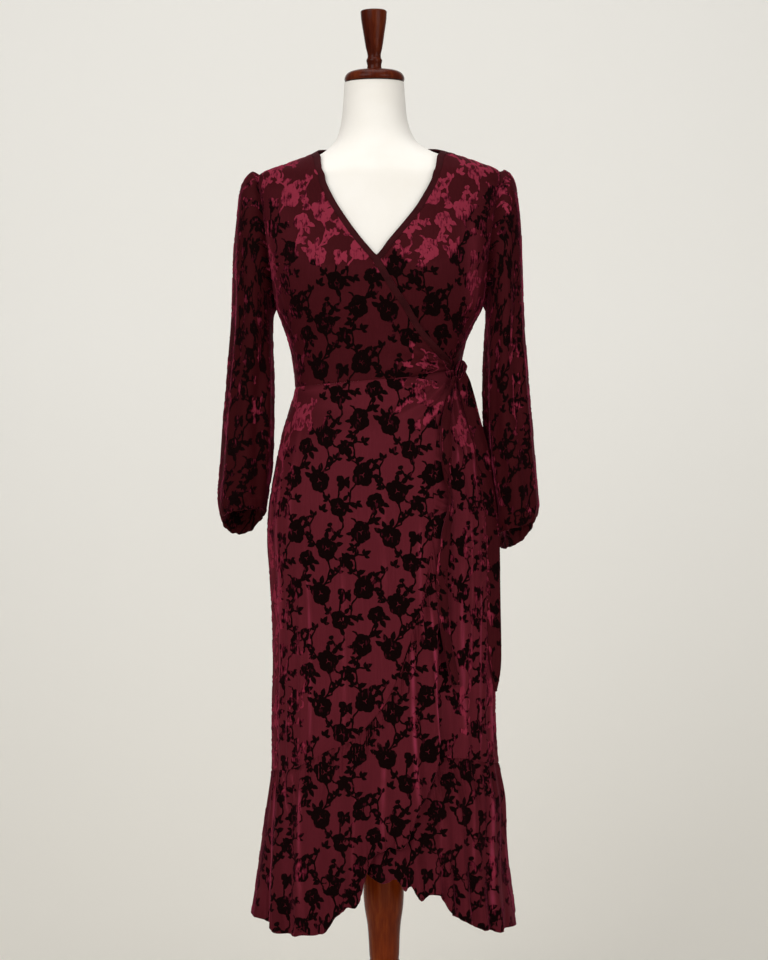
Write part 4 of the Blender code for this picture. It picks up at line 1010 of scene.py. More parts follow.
print("materials")
velvetPile, burntGround, plainBand = pileMaterial(), groundMaterial(), bandMaterial()
creamJersey, darkWood, poleWood = formMaterial(), woodMaterial("darkWood"), woodMaterial("poleWood")

# making a piece of cloth

# the ground's share by piece is partly the cream form showing through and partly painted shade; tiltShade paints shade
# where the cloth tilts up
cloth = {"backing": 0.85, "thickness": 0.0008, "lip": 0.0022, "lipFlare": 0.0004,
         "grooveDepth": 0.0009, "grooveWidth": 0.0022, "pileFoot": 0.00005, "pileRound": 0.08,
         "tiltShade": 0.55, "tiltFrom": (0.11, 0.12)}
vineMesh = vineRepeat()


def makeMesh(name, bm, sharp=None):
    mesh = bpy.data.meshes.new(name)
    bm.to_mesh(mesh)
    bm.free()
    mesh.shade_smooth()
    if sharp:
        mesh.set_sharp_from_angle(angle=math.radians(sharp))
    return mesh


def linked(name, data, material=None):
    if material:
        data.materials.append(material)
    item = bpy.data.objects.new(name, data)
    bpy.context.scene.collection.objects.link(item)
    return item


def addPiece(name, bm, material, slotName, *nodes):
    piece = linked(name, makeMesh(name, bm, 50), material)
    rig.replaces(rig.slot(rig.ride(piece, "root"), slotName), *nodes)
    return piece


def gridSpots(bm, columns, rows):
    # a grid in bm, and the row and column of each of its verts
    bmesh.ops.create_grid(bm, x_segments=columns, y_segments=rows, size=0.5)
    return {vert: (round((0.5 - vert.co.y) * rows), round((vert.co.x + 0.5) * columns))
            for vert in bm.verts}


def pathLengths(points):
    across = np.linalg.norm(np.diff(points, axis=1), axis=2)
    down = np.linalg.norm(np.diff(points, axis=0), axis=2)
    across = np.concatenate((np.zeros((len(points), 1)), np.cumsum(across, axis=1)), axis=1)
    down = np.concatenate((np.zeros((1, points.shape[1])), np.cumsum(down, axis=0)), axis=0)
    return across, down


def evened(grid, reach):
    # every place takes the mean of its neighbourhood
    for axis in (0, 1):
        wide = [(0, 0)] * grid.ndim
        wide[axis] = (reach + 1, reach)
        total = np.cumsum(np.pad(grid, wide, mode="edge"), axis=axis)
        here = np.arange(grid.shape[axis])
        grid = (np.take(total, here + 2 * reach + 1, axis) - np.take(total, here, axis)) / (2 * reach + 1)
    return grid


def paintedSheenShare(points, look):
    # painted sheen: how far the pile is painted in its lit colour, standing in for light falling on cloth that tilts
    # up, for grazing light on the flanks of folds and on sides that turn away
    normals = gridNormals(points)
    lean = np.linalg.norm(np.cross(normals, unit(evened(normals, pileLook["reach"]))), axis=2)
    low, high = look.get("tilt", pileLook["tilt"])
    tilt = softStep((normals[..., 2] - low) / (high - low))
    low, high = look.get("fold", pileLook["fold"])
    fold = softStep((lean - low) / (high - low))
    start, over = pileLook["sideFrom"]
    side = look.get("sideShare", pileLook["sideShare"]) * softStep((np.abs(normals[..., 0]) - start) / over)
    return np.clip(tilt + fold + side, 0, 1)


def gridNormals(points):
    return unit(np.cross(np.gradient(points, axis=0), np.gradient(points, axis=1)))


def params(columns, rows):
    return np.meshgrid(np.linspace(0, 1, columns + 1), np.linspace(0, 1, rows + 1))


def grooved(points, seams):
    # the cloth dips a little into its seams
    across, down = pathLengths(points)
    away = {"left": across, "right": across[:, -1:] - across, "top": down, "bottom": down[-1:] - down}
    dip = sum(np.exp(-(away[side] / cloth["grooveWidth"]) ** 2) for side in seams)
    return points - gridNormals(points) * (cloth["grooveDepth"] * np.minimum(dip, 1))[..., None]


def sheetMesh(name, points, uvs, material, tube=False, lip=True, backing=None, shine=None):
    bm = bmesh.new()
    # shares for the ground's colour: the form showing through with painted shade, and a painted highlight along ridges
    shade = bm.verts.layers.float.new("backing")
    bright = bm.verts.layers.float.new("shine")
    layer = bm.loops.layers.uv.new("cloth")
    spots = gridSpots(bm, points.shape[1] - 1, points.shape[0] - 1)
    for face in bm.faces:
        for loop in face.loops:
            loop[layer].uv = uvs[spots[loop.vert]]
    for vert, spot in spots.items():
        vert.co = points[spot]
        vert[shade] = 0.0 if backing is None else backing[spot]
        vert[bright] = 0.0 if shine is None else shine[spot]
    if tube:
        bmesh.ops.remove_doubles(bm, verts=bm.verts, dist=1e-6)
    if lip:
        turnIn(bm)
    return linked(name, makeMesh(name, bm, 55), material)


def turnIn(bm):
    # the edges turn in a little way, as at a seam allowance or a narrow hem
    bm.normal_update()
    rim = [edge for edge in bm.edges if edge.is_boundary]
    sides = {}
    for edge in rim:
        for vert in edge.verts:
            inside = [other.other_vert(vert).co for other in vert.link_edges if not other.is_boundary]
            middle = sum(inside, Vector()) / len(inside) if inside else vert.co
            flare = (vert.co - middle).normalized() * cloth["lipFlare"]
            sides[vert] = vert.co - vert.normal * cloth["lip"] + flare
    made = bmesh.ops.extrude_edge_only(bm, edges=rim)["geom"]
    for vert in [item for item in made if isinstance(item, bmesh.types.BMVert)]:
        source = next(edge.other_vert(vert) for edge in vert.link_edges
                      if edge.other_vert(vert) in sides)
        vert.co = sides[source]


def layPile(name, points, uvs, light, where):
    # repeats of the vine laid on the cloth through its flat pattern, cut off at its edges
    rows, columns = points.shape[:2]
    flat = np.concatenate((uvs, np.zeros((rows, columns, 1))), axis=2).reshape(-1, 3)
    corner = (np.arange(rows - 1)[:, None] * columns + np.arange(columns - 1)[None, :]).reshape(-1)
    halves = np.concatenate((np.stack((corner, corner + columns, corner + columns + 1), 1),
                             np.stack((corner, corner + columns + 1, corner + 1), 1)))
    tree = BVHTree.FromPolygons(flat.tolist(), halves.tolist())
    low, high = flat.min(axis=0), flat.max(axis=0)
    bm = bmesh.new()
    layer = bm.verts.layers.float_vector.new("lie")
    paintedSheenLayer = bm.verts.layers.float.new("nap")
    addRepeats(bm, low, high)
    far = [vert for vert in bm.verts if not (low[0] < vert.co.x < high[0] and low[1] < vert.co.y < high[1])]
    bmesh.ops.delete(bm, geom=far, context="VERTS")
    found = [tree.find_nearest((vert.co.x, vert.co.y, 0)) for vert in bm.verts]
    outside = [hit[3] > 0.00005 for hit in found]
    bm.verts.index_update()
    gone = [face for face in bm.faces if all(outside[vert.index] for vert in face.verts)]
    triangle = halves[[hit[2] for hit in found]]
    shares = cornerShares(flat[triangle, :2], np.array([hit[0] for hit in found])[:, :2])
    blended = lambda values: (values[triangle] * shares[..., None]).sum(axis=1)
    lie = unit(blended(gridNormals(points).reshape(-1, 3)))
    rise = np.array([0.0 if out else vert.co.z for vert, out in zip(bm.verts, outside)])
    spots = blended(points.reshape(-1, 3)) + lie * (rise + cloth["pileFoot"])[:, None]
    # painted sheen share of the pile, with a painted highlight along the ridges
    nap = (light.reshape(-1)[triangle] * shares).sum(axis=1)
    if where is not None:
        spot = blended(np.stack(where, axis=-1).reshape(-1, 2))
        nap = np.clip(nap + ridgePaintedSheen(spot[:, 0], spot[:, 1]), 0, 1)
    for vert, spot, way, lit in zip(bm.verts, spots.tolist(), lie.tolist(), nap.tolist()):
        vert.co = spot
        vert[layer] = way
        vert[paintedSheenLayer] = lit
    bmesh.ops.delete(bm, geom=gone, context="FACES")
    mesh = makeMesh(name, bm)
    laid = np.empty(len(mesh.vertices) * 3, np.float32)
    mesh.attributes["lie"].data.foreach_get("vector", laid)
    own = np.empty(len(mesh.vertices) * 3, np.float32)
    mesh.vertex_normals.foreach_get("vector", own)
    share = cloth["pileRound"]
    mesh.normals_split_custom_set_from_vertices(
        unit(laid.reshape(-1, 3) * (1 - share) + own.reshape(-1, 3) * share).tolist())
    mesh.attributes.remove(mesh.attributes["lie"])
    pile = linked(name, mesh, velvetPile)
    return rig.slot(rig.ride(pile, "root"), "velvet")


def addRepeats(bm, low, high):
    wide, tall = vine["width"] / 1000, vine["height"] / 1000
    for i in range(math.floor(low[0] / wide) - 1, math.ceil(high[0] / wide) + 1):
        drop = (i % 2) * tall / 2
        for j in range(math.floor((low[1] - drop) / tall) - 1, math.ceil((high[1] - drop) / tall) + 1):
            first = len(bm.verts)
            bm.from_mesh(vineMesh)
            bm.verts.ensure_lookup_table()
            bmesh.ops.translate(bm, verts=bm.verts[first:], vec=(i * wide, j * tall + drop, 0))


def cornerShares(corners, place):
    # how much each corner of a flat triangle counts at a place in it
    a, b, c = corners[:, 0], corners[:, 1], corners[:, 2]
    across, along, reach = b - a, c - a, place - a
    area = across[:, 0] * along[:, 1] - across[:, 1] * along[:, 0]
    area = np.where(np.abs(area) < 1e-14, 1e-14, area)
    two = (reach[:, 0] * along[:, 1] - reach[:, 1] * along[:, 0]) / area
    three = (across[:, 0] * reach[:, 1] - across[:, 1] * reach[:, 0]) / area
    return np.clip(np.stack((1 - two - three, two, three), axis=1), 0, 1)


def areaOf(points):
    a = np.diff(points[:-1], axis=1)
    b = np.diff(points[:, :-1], axis=0)
    return float(np.linalg.norm(np.cross(a, b), axis=2).sum())


def addCloth(name, node, points, uvs, look, seams=(), tube=False, lip=True, material=None,
             slotName="velvet", pile=True, nap=None, where=None):
    points = grooved(points, seams) if seams else points
    # painted shade: the ground is darker where the cloth tilts up, on top of each piece's share; shine is a painted
    # highlight along the ridges
    start, over = cloth["tiltFrom"]
    tilt = softStep((gridNormals(points)[..., 2] - start) / over)
    backing = look.get("backing", cloth["backing"]) * (1 - cloth["tiltShade"] * tilt)
    shine = None if where is None else ridgePaintedSheen(*where)
    piece = sheetMesh(name, points, uvs, material or burntGround, tube, lip, backing, shine)
    wall = piece.modifiers.new("wall", "SOLIDIFY")
    wall.thickness = look.get("thickness", cloth["thickness"])
    wall.offset = -1.0
    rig.replaces(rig.slot(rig.ride(piece, "root"), slotName), node)
    onIt = []
    if pile:
        onIt = [layPile(name + "Pile", points, uvs, paintedSheenShare(points, look) if nap is None else nap, where)]
    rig.sheet(piece, flat=look["flat"], held=look["held"], rests_on=look["restsOn"],
             with_pieces=onIt, **({"area": look["area"]} if "area" in look else {}))
    print(name, "area", round(areaOf(points), 4))


def addPanel(name, node, lines, look, lifts, seams=("left", "right", "top", "bottom"), mapping=clothUv):
    # a panel inside four border lines, raised off the skin by all its lifts together
    place = patch(*lines)(*params(look["columns"], look["rows"]))
    angle, height = place[..., 0], place[..., 1]
    lift = sum(each(angle, height) for each in lifts)
    addCloth(name, node, raised(angle, height, lift), mapping(angle, height), look, seams,
             where=(angle, height))


# bodice and neck bands

# the bodice's low shares paint shade on its ground; tilt sets where its pile's painted sheen starts
bodiceLook = {
    "front": {"backing": 0.25, "tilt": (0.09, 0.18), "columns": 72, "rows": 115, "flat": (0.32, 0.42),
              "area": 0.075, "held": "draped", "restsOn": ["form_torso"]},
    "back": {"backing": 0.35, "tilt": (0.09, 0.18), "columns": 102, "rows": 95, "flat": (0.44, 0.40),
             "area": 0.15, "held": "draped", "restsOn": ["form_torso"]},
}
bandSizes = {"columns": 5, "rows": 150, "backColumns": 90, "longFlat": (0.030, 0.46),
             "backFlat": (0.26, 0.030), "held": "stretched", "restsOn": ["form_torso"],
             "thickness": 0.0012, "proud": 0.0003}


def sideLine(ends, sign, side, sweep, around=0):
    # down the armhole and on down the side seam
    arm = lambda t: armhole(ends, sign, side + sweep * t) + np.array((around, 0))
    seam = straight((side, ends[1]), (side, waist(side)))
    return joined([arm, seam], [cut["armShare"], 1 - cut["armShare"]])


def bodiceFrontRight():
    inner = movedIn(lineThrough(neckEdgeRight), -cut["band"])
    top = straight(armhole(rightArmhole, -1, -90), inner(0.0))
    addPanel("bodiceFrontRight", "bodice_front_right",
             (top, waistTo(-90, inner(1.0)), sideLine(rightArmhole, -1, -90, 180), inner),
             bodiceLook["front"], (knotPleat, creased))


def bodiceFrontLeft():
    inner = movedIn(lineThrough(neckEdgeLeft), cut["band"])
    bottom = waistTo(90, inner(1.0))
    top = straight(inner(0.0), armhole(leftArmhole, 1, 90))
    addPanel("bodiceFrontLeft", "bodice_front_left",
             (top, lambda t: bottom(1 - t), inner, sideLine(leftArmhole, 1, 90, -180)),
             bodiceLook["front"], (underDrop, creased))


def bodiceBack():
    neck = backNeckIn(cut["band"])
    top = joined([straight((90, leftArmhole[0]), neck(0.0)), neck,
                  straight(neck(1.0), (270, rightArmhole[0]))], [1 / 6, 2 / 3, 1 / 6])
    addPanel("bodiceBack", "bodice_back",
             (top, waistLine(90, 270), sideLine(leftArmhole, 1, 90, 180),
              sideLine(rightArmhole, -1, 270, -180, 360)),
             bodiceLook["back"], (creased,), mapping=backUv)


def neckBands():
    right, left = lineThrough(neckEdgeRight), lineThrough(neckEdgeLeft)
    backIn = backNeckIn(cut["band"])
    u, v = params(bandSizes["columns"], bandSizes["rows"])
    crown = bandSizes["proud"] * (1 - (2 * u - 1) ** 4)
    for name, node, start, end, drop in (
            ("neckBandRight", "neckband_right", movedIn(right, -cut["band"]), right, knotPleat),
            ("neckBandLeft", "neckband_left", left, movedIn(left, cut["band"]), underDrop)):
        place = start(v) * (1 - u[..., None]) + end(v) * u[..., None]
        addBand(name, node, place, drop(place[..., 0], place[..., 1]) + crown, bandSizes["longFlat"])
    u, v = params(bandSizes["backColumns"], bandSizes["columns"])
    place = backNeck(u) * (1 - v[..., None]) + backIn(u) * v[..., None]
    addBand("neckBandBack", "neckband_back", place, bandSizes["proud"] * (1 - (2 * v - 1) ** 4),
            bandSizes["backFlat"])


def addBand(name, node, place, lift, flat):
    angle, height = place[..., 0], place[..., 1]
    look = dict(bandSizes, flat=flat, area=0.5 * flat[0] * flat[1])
    addCloth(name, node, raised(angle, height, lift), clothUv(angle, height), look,
             material=plainBand, slotName="band", pile=False)


print("bodice")
bodiceFrontLeft()
bodiceFrontRight()
bodiceBack()
neckBands()

# skirt and flounces

skirtLook = {name: {"columns": columns, "rows": rows, "flat": flat, "area": area, "held": "draped",
                    "restsOn": ["form_torso"]} for name, columns, rows, flat, area in (
    ("overFront", 84, 150, (0.38, 0.62), 0.19),
    ("underFront", 76, 144, (0.36, 0.62), 0.18),
    ("back", 102, 130, (0.54, 0.62), 0.30))}
flounceLook = {
    "gathers": 0.0009, "gatherEvery": 0.0085, "gatherFrom": 0.006, "gatherTo": 0.085, "gatherFade": 0.07,
    "growth": 1.2, "hemRipple": 0.0012, "rippleFrom": 0.75,
    "lobes": (2.8, 21), "smallLobes": (1.3, 10.5), "lobeDrift": 57,      # height and length in mm
    **{name: {"backing": backing, "fold": (0.56, 0.80), "tilt": (0.30, 0.45), "sideShare": 0.12,
              "columns": columns, "rows": rows, "flat": flat, "area": area, "held": "gathered",
              "restsOn": [under]} for name, backing, columns, rows, flat, area, under in (
        ("over", 0.76, 264, 52, (1.35, 0.27), 0.13, "skirt_front_right"),
        ("under", 0.70, 168, 56, (0.62, 0.28), 0.10, "skirt_front_left"),
        ("back", 0.85, 216, 48, (0.95, 0.24), 0.15, "skirt_back"))},
}


def skirtFrontRight():
    seam = overLines[0]
    bend = overBend / (len(overRibs) - 1)
    bottom = lambda t: seam(t * bend)
    right = lambda t: seam(1 - (1 - bend) * t)
    addPanel("skirtFrontRight", "skirt_front_right",
             (waistTo(-90, right(0.0)), bottom, straight((-90, waist(-90)), bottom(0.0)), right),
             skirtLook["overFront"], (skirtFold, knotPleat, creased))


def hungFrom(top, bottom):
    # border lines of a panel with straight sides
    return top, bottom, straight(top(0.0), bottom(0.0)), straight(top(1.0), bottom(1.0))


def skirtFrontLeft():
    top = waistLine(float(angleAt(*cut["underStart"])), 90)
    addPanel("skirtFrontLeft", "skirt_front_left", hungFrom(top, underLines[0]),
             skirtLook["underFront"], (skirtFold, underDrop, creased), ("right", "top", "bottom"))


def backSeam(t):
    t = np.asarray(t, float)
    return np.stack((90 + 180 * t, sideLeftSeam * (1 - t) + sideRightSeam * t), -1)


def skirtBack():
    addPanel("skirtBack", "skirt_back", hungFrom(waistLine(90, 270), backSeam), skirtLook["back"],
             (skirtFold, creased), mapping=backUv)


def unfolded(points, guide):
    # the flat pattern of a curved sheet, unwrapped on every fourth row and column and turned upright
    coarse = points[::4, ::4]
    rows, columns = coarse.shape[0] - 1, coarse.shape[1] - 1
    zeros = np.zeros(coarse.shape[:2] + (2,))
    trial = sheetMesh("trial", coarse, zeros, burntGround, lip=False)
    bpy.context.view_layer.objects.active = trial
    trial.select_set(True)
    bpy.ops.object.mode_set(mode="EDIT")
    bpy.ops.mesh.select_all(action="SELECT")
    bpy.ops.uv.unwrap(method="ANGLE_BASED", margin=0)
    bpy.ops.object.mode_set(mode="OBJECT")
    flat = np.zeros((rows + 1, columns + 1, 2))
    layer = trial.data.uv_layers["cloth"].data
    for loop in trial.data.loops:
        row, column = divmod(loop.vertex_index, columns + 1)
        flat[rows - row, column] = layer[loop.index].uv
    mesh = trial.data
    bpy.data.objects.remove(trial)
    bpy.data.meshes.remove(mesh)
    seen = guide[::4, ::4] - guide[::4, ::4].mean(axis=(0, 1))
    flat = flat - flat.mean(axis=(0, 1))
    one, two = (flat[..., 0] + 1j * flat[..., 1]).ravel(), (seen[..., 0] + 1j * seen[..., 1]).ravel()
    turn = (np.conj(one) * two).sum()
    across, along = np.diff(flat[:-1], axis=1), np.diff(flat[:, :-1], axis=0)
    area = np.abs(across[..., 0] * along[..., 1] - across[..., 1] * along[..., 0]).sum()
    scale = math.sqrt(areaOf(coarse) / area)
    fitted = (flat[..., 0] + 1j * flat[..., 1]) * scale * turn / abs(turn)
    fitted = np.stack((fitted.real, fitted.imag), axis=-1) + guide.mean(axis=(0, 1))
    wide, tall = np.arange(columns + 1) * 4, np.arange(rows + 1) * 4
    fine = between(tall, fitted, np.arange(points.shape[0]))
    return np.moveaxis(between(wide, np.moveaxis(fine, 1, 0), np.arange(points.shape[1])), 0, 1)


def addFlounce(name, node, lines, look, drop=None, pleat=None, seed=0.0):
    # waves grow from nothing at the seam to their lift at the edge, and small gathers fade below it
    seam, edge, lift = lines
    u, v = params(look["columns"], look["rows"])
    start, end = seam(u), edge(u)
    run = np.linspace(0, 1, look["columns"] + 1) * look["flat"][0] * 1000
    (tall, long), (low, short) = flounceLook["lobes"], flounceLook["smallLobes"]
    drift, rippled = flounceLook["lobeDrift"], flounceLook["rippleFrom"]
    wave = tall * np.sin(run / long + seed + np.sin(run / drift)) + low * np.sin(run / short + 2 * seed)
    end[:, 1:-1] = evened(end, 3)[:, 1:-1]
    end[..., 1] += wave / 1000 * np.sin(np.pi * u[0]) ** 0.3
    place = start * (1 - v[..., None]) + end * v[..., None]
    angle, height = place[..., 0], place[..., 1]
    rise = lift(u) * v ** flounceLook["growth"] + skirtFold(start[..., 0], start[..., 1]) * (1 - 0.7 * v)
    if pleat is not None:
        rise = rise + pleat(start[..., 0], start[..., 1]) * (1 - v)
    if drop is not None:
        rise = rise + drop(angle, height)
    points = raised(angle, height, rise)
    uvs = unfolded(points, clothUv(angle, height))
    across, down = pathLengths(points)
    phase = across.mean(axis=0) / flounceLook["gatherEvery"] * 2 * np.pi
    wander = np.sin(phase[None, :] * 0.37 + seed) * 1.7 + np.sin(phase[None, :] * 0.093 + 2 * seed)
    depth = flounceLook["gathers"] * softStep(down / flounceLook["gatherFrom"])
    depth = depth * softStep((flounceLook["gatherTo"] - down) / flounceLook["gatherFade"])
    rise = rise + depth * np.cos(phase[None, :] + wander) + creased(angle, height)
    ripple = flounceLook["hemRipple"] * softStep((v - rippled) / (1 - rippled))
    rise = rise + ripple * np.sin(phase[None, :] * 0.43 + 1.3 * seed + wander)
    points = raised(angle, height, rise)
    seams = ("left", "right", "top") if drop is None else ("right", "top")
    addCloth(name, node, points, uvs, look, seams, where=(angle, height))


def flounces():
    addFlounce("flounceFrontRight", "flounce_front_right", overLines, flounceLook["over"],
               pleat=knotPleat, seed=0.7)
    addFlounce("flounceFrontLeft", "flounce_front_left", underLines, flounceLook["under"],
               drop=underDrop, seed=2.1)

    def backEdge(t):
        middle = np.sin(np.pi * np.clip(t, 0, 1)) ** 0.7
        sides = hemLeft * (1 - t) + hemRight * t
        scallop = backFlounce["scallop"] * np.cos(2 * np.pi * backFlounce["waves"] * t)
        return np.stack((90 + 180 * t, sides + (hemBack - sides) * middle + scallop * middle), -1)

    def backLift(t):
        uneven = 1 + 0.25 * np.sin(17 * t + 1)
        share = backFlounce["sideShare"]
        uneven = uneven * (share + (1 - share) * softStep(3 * np.sin(np.pi * t) - 0.3))
        waves = (1 - np.cos(2 * np.pi * backFlounce["waves"] * t)) / 2
        return backFlounce["lift"] * uneven * waves + 0.001
    addFlounce("flounceBack", "flounce_back", (backSeam, backEdge, backLift), flounceLook["back"],
               seed=4.4)


print("skirt")
skirtFrontLeft()
skirtFrontRight()
skirtBack()
flounces()

# sleeves and cuffs

# rows down a sleeve: x and z of its outer side, x and z of its inner side, half depth, y of its middle
sleeveLook = {
    "columns": 92, "rows": 150, "flat": (0.36, 0.62), "area": 0.19, "held": "gathered",
    "restsOn": ["form_torso", "skirtBack"], "fold": (0.30, 0.55),
    "under": (0.0030, 0.0022), "armholeGap": 0.0012,
    "capGathers": 13, "capDepth": 0.0006, "folds": (4, 7), "foldDepth": 0.0030,
    "endGathers": (13, 22), "endDepth": 0.0008, "clear": 0.0040, "tailRoom": 0.0140,
    "roundness": 0.9, "clearFrom": (1.10, 0.14), "tailFrom": (0.012, 0.030),
    "foldSteps": ((0.98, 0.012), (0.89, 0.0), (0.76, 0.005)),
}
rightSleeve = {
    "rows": (
        (-0.1955, 1.4195, -0.1640, 1.1960, 0.0500, 0.000),
        (-0.2045, 1.4120, -0.1655, 1.1890, 0.0550, -0.001),
        (-0.2150, 1.3935, -0.1665, 1.1800, 0.0580, -0.002),
        (-0.2205, 1.3600, -0.1670, 1.1680, 0.0590, -0.003),
        (-0.2245, 1.3245, -0.1675, 1.1530, 0.0580, -0.005),
        (-0.2270, 1.2750, -0.1680, 1.1300, 0.0560, -0.007),
        (-0.2275, 1.2180, -0.1680, 1.1000, 0.0530, -0.010),
        (-0.2300, 1.1700, -0.1680, 1.0750, 0.0510, -0.012),
        (-0.2350, 1.1150, -0.1680, 1.0450, 0.0490, -0.014),
        (-0.2400, 1.0600, -0.1685, 1.0130, 0.0480, -0.016),
        (-0.2450, 1.0120, -0.1695, 0.9800, 0.0480, -0.017),
        (-0.2495, 0.9600, -0.1720, 0.9430, 0.0490, -0.018),
        (-0.2545, 0.9080, -0.1780, 0.9030, 0.0490, -0.018),
    ),
    "fold": ((0, 0.8800), (60, 0.8810), (100, 0.8740), (140, 0.8600), (170, 0.8440), (215, 0.8425),
             (245, 0.8520), (270, 0.8640), (300, 0.8720), (360, 0.8800)),
    # painted shade: on one cloth, this sleeve's ground share is lower than the left's; calm lowers its painted sheen
    # near the top
    "cuff": (-0.2150, -0.018, 0.905, 0.0245), "backing": -0.22, "calm": 0.55,
}
leftSleeve = {
    "rows": (
        (0.2070, 1.4175, 0.1720, 1.2040, 0.0500, 0.000),
        (0.2140, 1.4120, 0.1735, 1.1960, 0.0550, -0.001),
        (0.2220, 1.3970, 0.1735, 1.1870, 0.0580, -0.002),
        (0.2272, 1.3660, 0.1735, 1.1740, 0.0590, -0.003),
        (0.2310, 1.3290, 0.1730, 1.1580, 0.0580, -0.005),
        (0.2315, 1.2780, 0.1725, 1.1360, 0.0560, -0.007),
        (0.2318, 1.2170, 0.1720, 1.1050, 0.0530, -0.010),
        (0.2325, 1.1700, 0.1715, 1.0760, 0.0510, -0.012),
        (0.2360, 1.1130, 0.1715, 1.0420, 0.0490, -0.014),
        (0.2395, 1.0580, 0.1720, 1.0080, 0.0480, -0.017),
        (0.2435, 1.0060, 0.1735, 0.9700, 0.0480, -0.020),
        (0.2485, 0.9400, 0.1790, 0.9220, 0.0490, -0.022),
        (0.2530, 0.8850, 0.1850, 0.8780, 0.0490, -0.022),
    ),
    "fold": ((0, 0.8480), (50, 0.8570), (90, 0.8640), (125, 0.8480), (150, 0.8320), (180, 0.8190),
             (215, 0.8125), (240, 0.8150), (270, 0.8320), (320, 0.8420), (360, 0.8480)),
    # painted light: a higher ground share than the right sleeve's on the same cloth; calm lowers its painted sheen
    # near the top
    "cuff": (0.2200, -0.022, 0.880, 0.0245), "backing": 0.11, "calm": 0.30,
}
cuffSizes = {"columns": 64, "rows": 8, "height": 0.022, "round": 0.15, "swell": 0.0006,
             "flat": (0.16, 0.05), "area": 0.0045, "held": "gathered", "restsOn": ["sleeveRight"],
             "thickness": 0.0014}


def keptOff(points):
    # a sleeve lies beside the skirt and the side tail, never in them
    x, y, z = np.moveaxis(points, -1, 0)
    right, left, front, back, square = section(z)
    (ahead, over), (top, below) = sleeveLook["tailFrom"], sleeveLook["clearFrom"]
    room = sleeveLook["tailRoom"] * softStep((-y - ahead) / over)
    half = np.where(x > 0, left + room, right) + sleeveLook["clear"]
    reach = np.where(y < 0, front, back) + sleeveLook["clear"]
    limit = half * (1 - np.minimum(np.abs(y) / reach, 1.0) ** square) ** (1 / square)
    short = np.maximum(limit - np.abs(x), 0) * softStep((top - z) / below)
    held = x + np.sign(x) * short
    return np.stack((held, y, z), axis=-1)


def sleevePoints(sleeve, arm, sign):
    middleX, middleY, cuffLow, cuffRadius = sleeve["cuff"]
    table = np.array(sleeve["rows"])
    count, power = len(table), sleeveLook["roundness"]
    phi = -sign * 90 + np.linspace(0, 360, sleeveLook["columns"] + 1)
    side, ahead = sign * np.sin(np.radians(phi)), np.cos(np.radians(phi))

    def ring(at):
        outX, outZ, inX, inZ, depth, back = between(np.arange(count), table, at)
        across = (outX + inX) / 2 + (outX - inX) / 2 * np.sign(side) * np.abs(side) ** power
        height = (outZ + inZ) / 2 + (outZ - inZ) / 2 * side
        return np.stack((across, back - depth * np.sign(ahead) * np.abs(ahead) ** power, height), -1)
    under, sunk = sleeveLook["under"]
    places = armhole(arm, sign, phi, -under)
    rings = {-1.5: raised(places[:, 0], places[:, 1], -sunk)}      # tucked in behind the bodice's edge
    places = armhole(arm, sign, phi, sleeveLook["armholeGap"])
    rings[-1.0] = skin(places[:, 0], places[:, 1])
    for at in np.arange(0, count - 0.5, 0.5):
        rings[float(at)] = ring(at)
    low = ring(count - 1)
    heart = np.array((middleX, middleY, 0.0))
    spread = low * (1, 1, 0) - heart
    foldTable = np.array(sleeve["fold"])
    foldHeight = between(foldTable[:, 0], foldTable[:, 1], phi % 360)[:, None]
    for step, (share, above) in enumerate(sleeveLook["foldSteps"]):
        rings[float(count + step)] = heart + spread * share + (foldHeight + above) * (0, 0, 1)
    rings[float(count + 3)] = heart + unit(spread) * cuffRadius + np.array((0, 0, cuffLow))
    ats = np.array(sorted(rings))
    shape = np.stack([rings[at] for at in ats])
    keys = np.concatenate(([0], np.cumsum(np.linalg.norm(np.diff(shape, axis=0), axis=2).mean(axis=1))))
    rowKeys = np.linspace(0, keys[-1], sleeveLook["rows"] + 1)
    points = between(keys, shape, rowKeys)
    # at counts the rows of the table: -1 at the armhole, count at the fold over the cuff
    at = np.interp(rowKeys, keys, ats)[:, None]
    angle = np.radians(phi)[None, :]
    cap = sleeveLook["capDepth"] * (1 + np.cos(angle * sleeveLook["capGathers"] + 0.5))
    cap = cap * softStep(1.4 - at / 3) * softStep(0.5 + sign * np.sin(angle)) * softStep((at + 1) / 0.5)
    few, many = sleeveLook["folds"]
    drift = 0.35 * np.sin(at * 0.9)
    fold = np.cos((angle + 0.12 * drift) * few + 0.7 + drift) + np.cos(angle * many + 1.3 * drift)
    length = softStep((at - 2) / 6) * (1 - 0.4 * softStep((at - count + 4) / 3))
    length = length * (1 - softStep((at - count + 1) / 1.2))
    few, many = sleeveLook["endGathers"]
    end = np.cos(angle * few + 1) + 0.6 * np.cos(angle * many)
    gather = sleeveLook["endDepth"] * softStep((at - count + 1.4) / 2) * softStep((count + 3 - at) / 1)
    lift = cap + sleeveLook["foldDepth"] * fold * length + gather * end
    points = keptOff(points + gridNormals(points) * lift[..., None])
    points[:, -1] = points[:, 0]
    return points, at[:, 0]


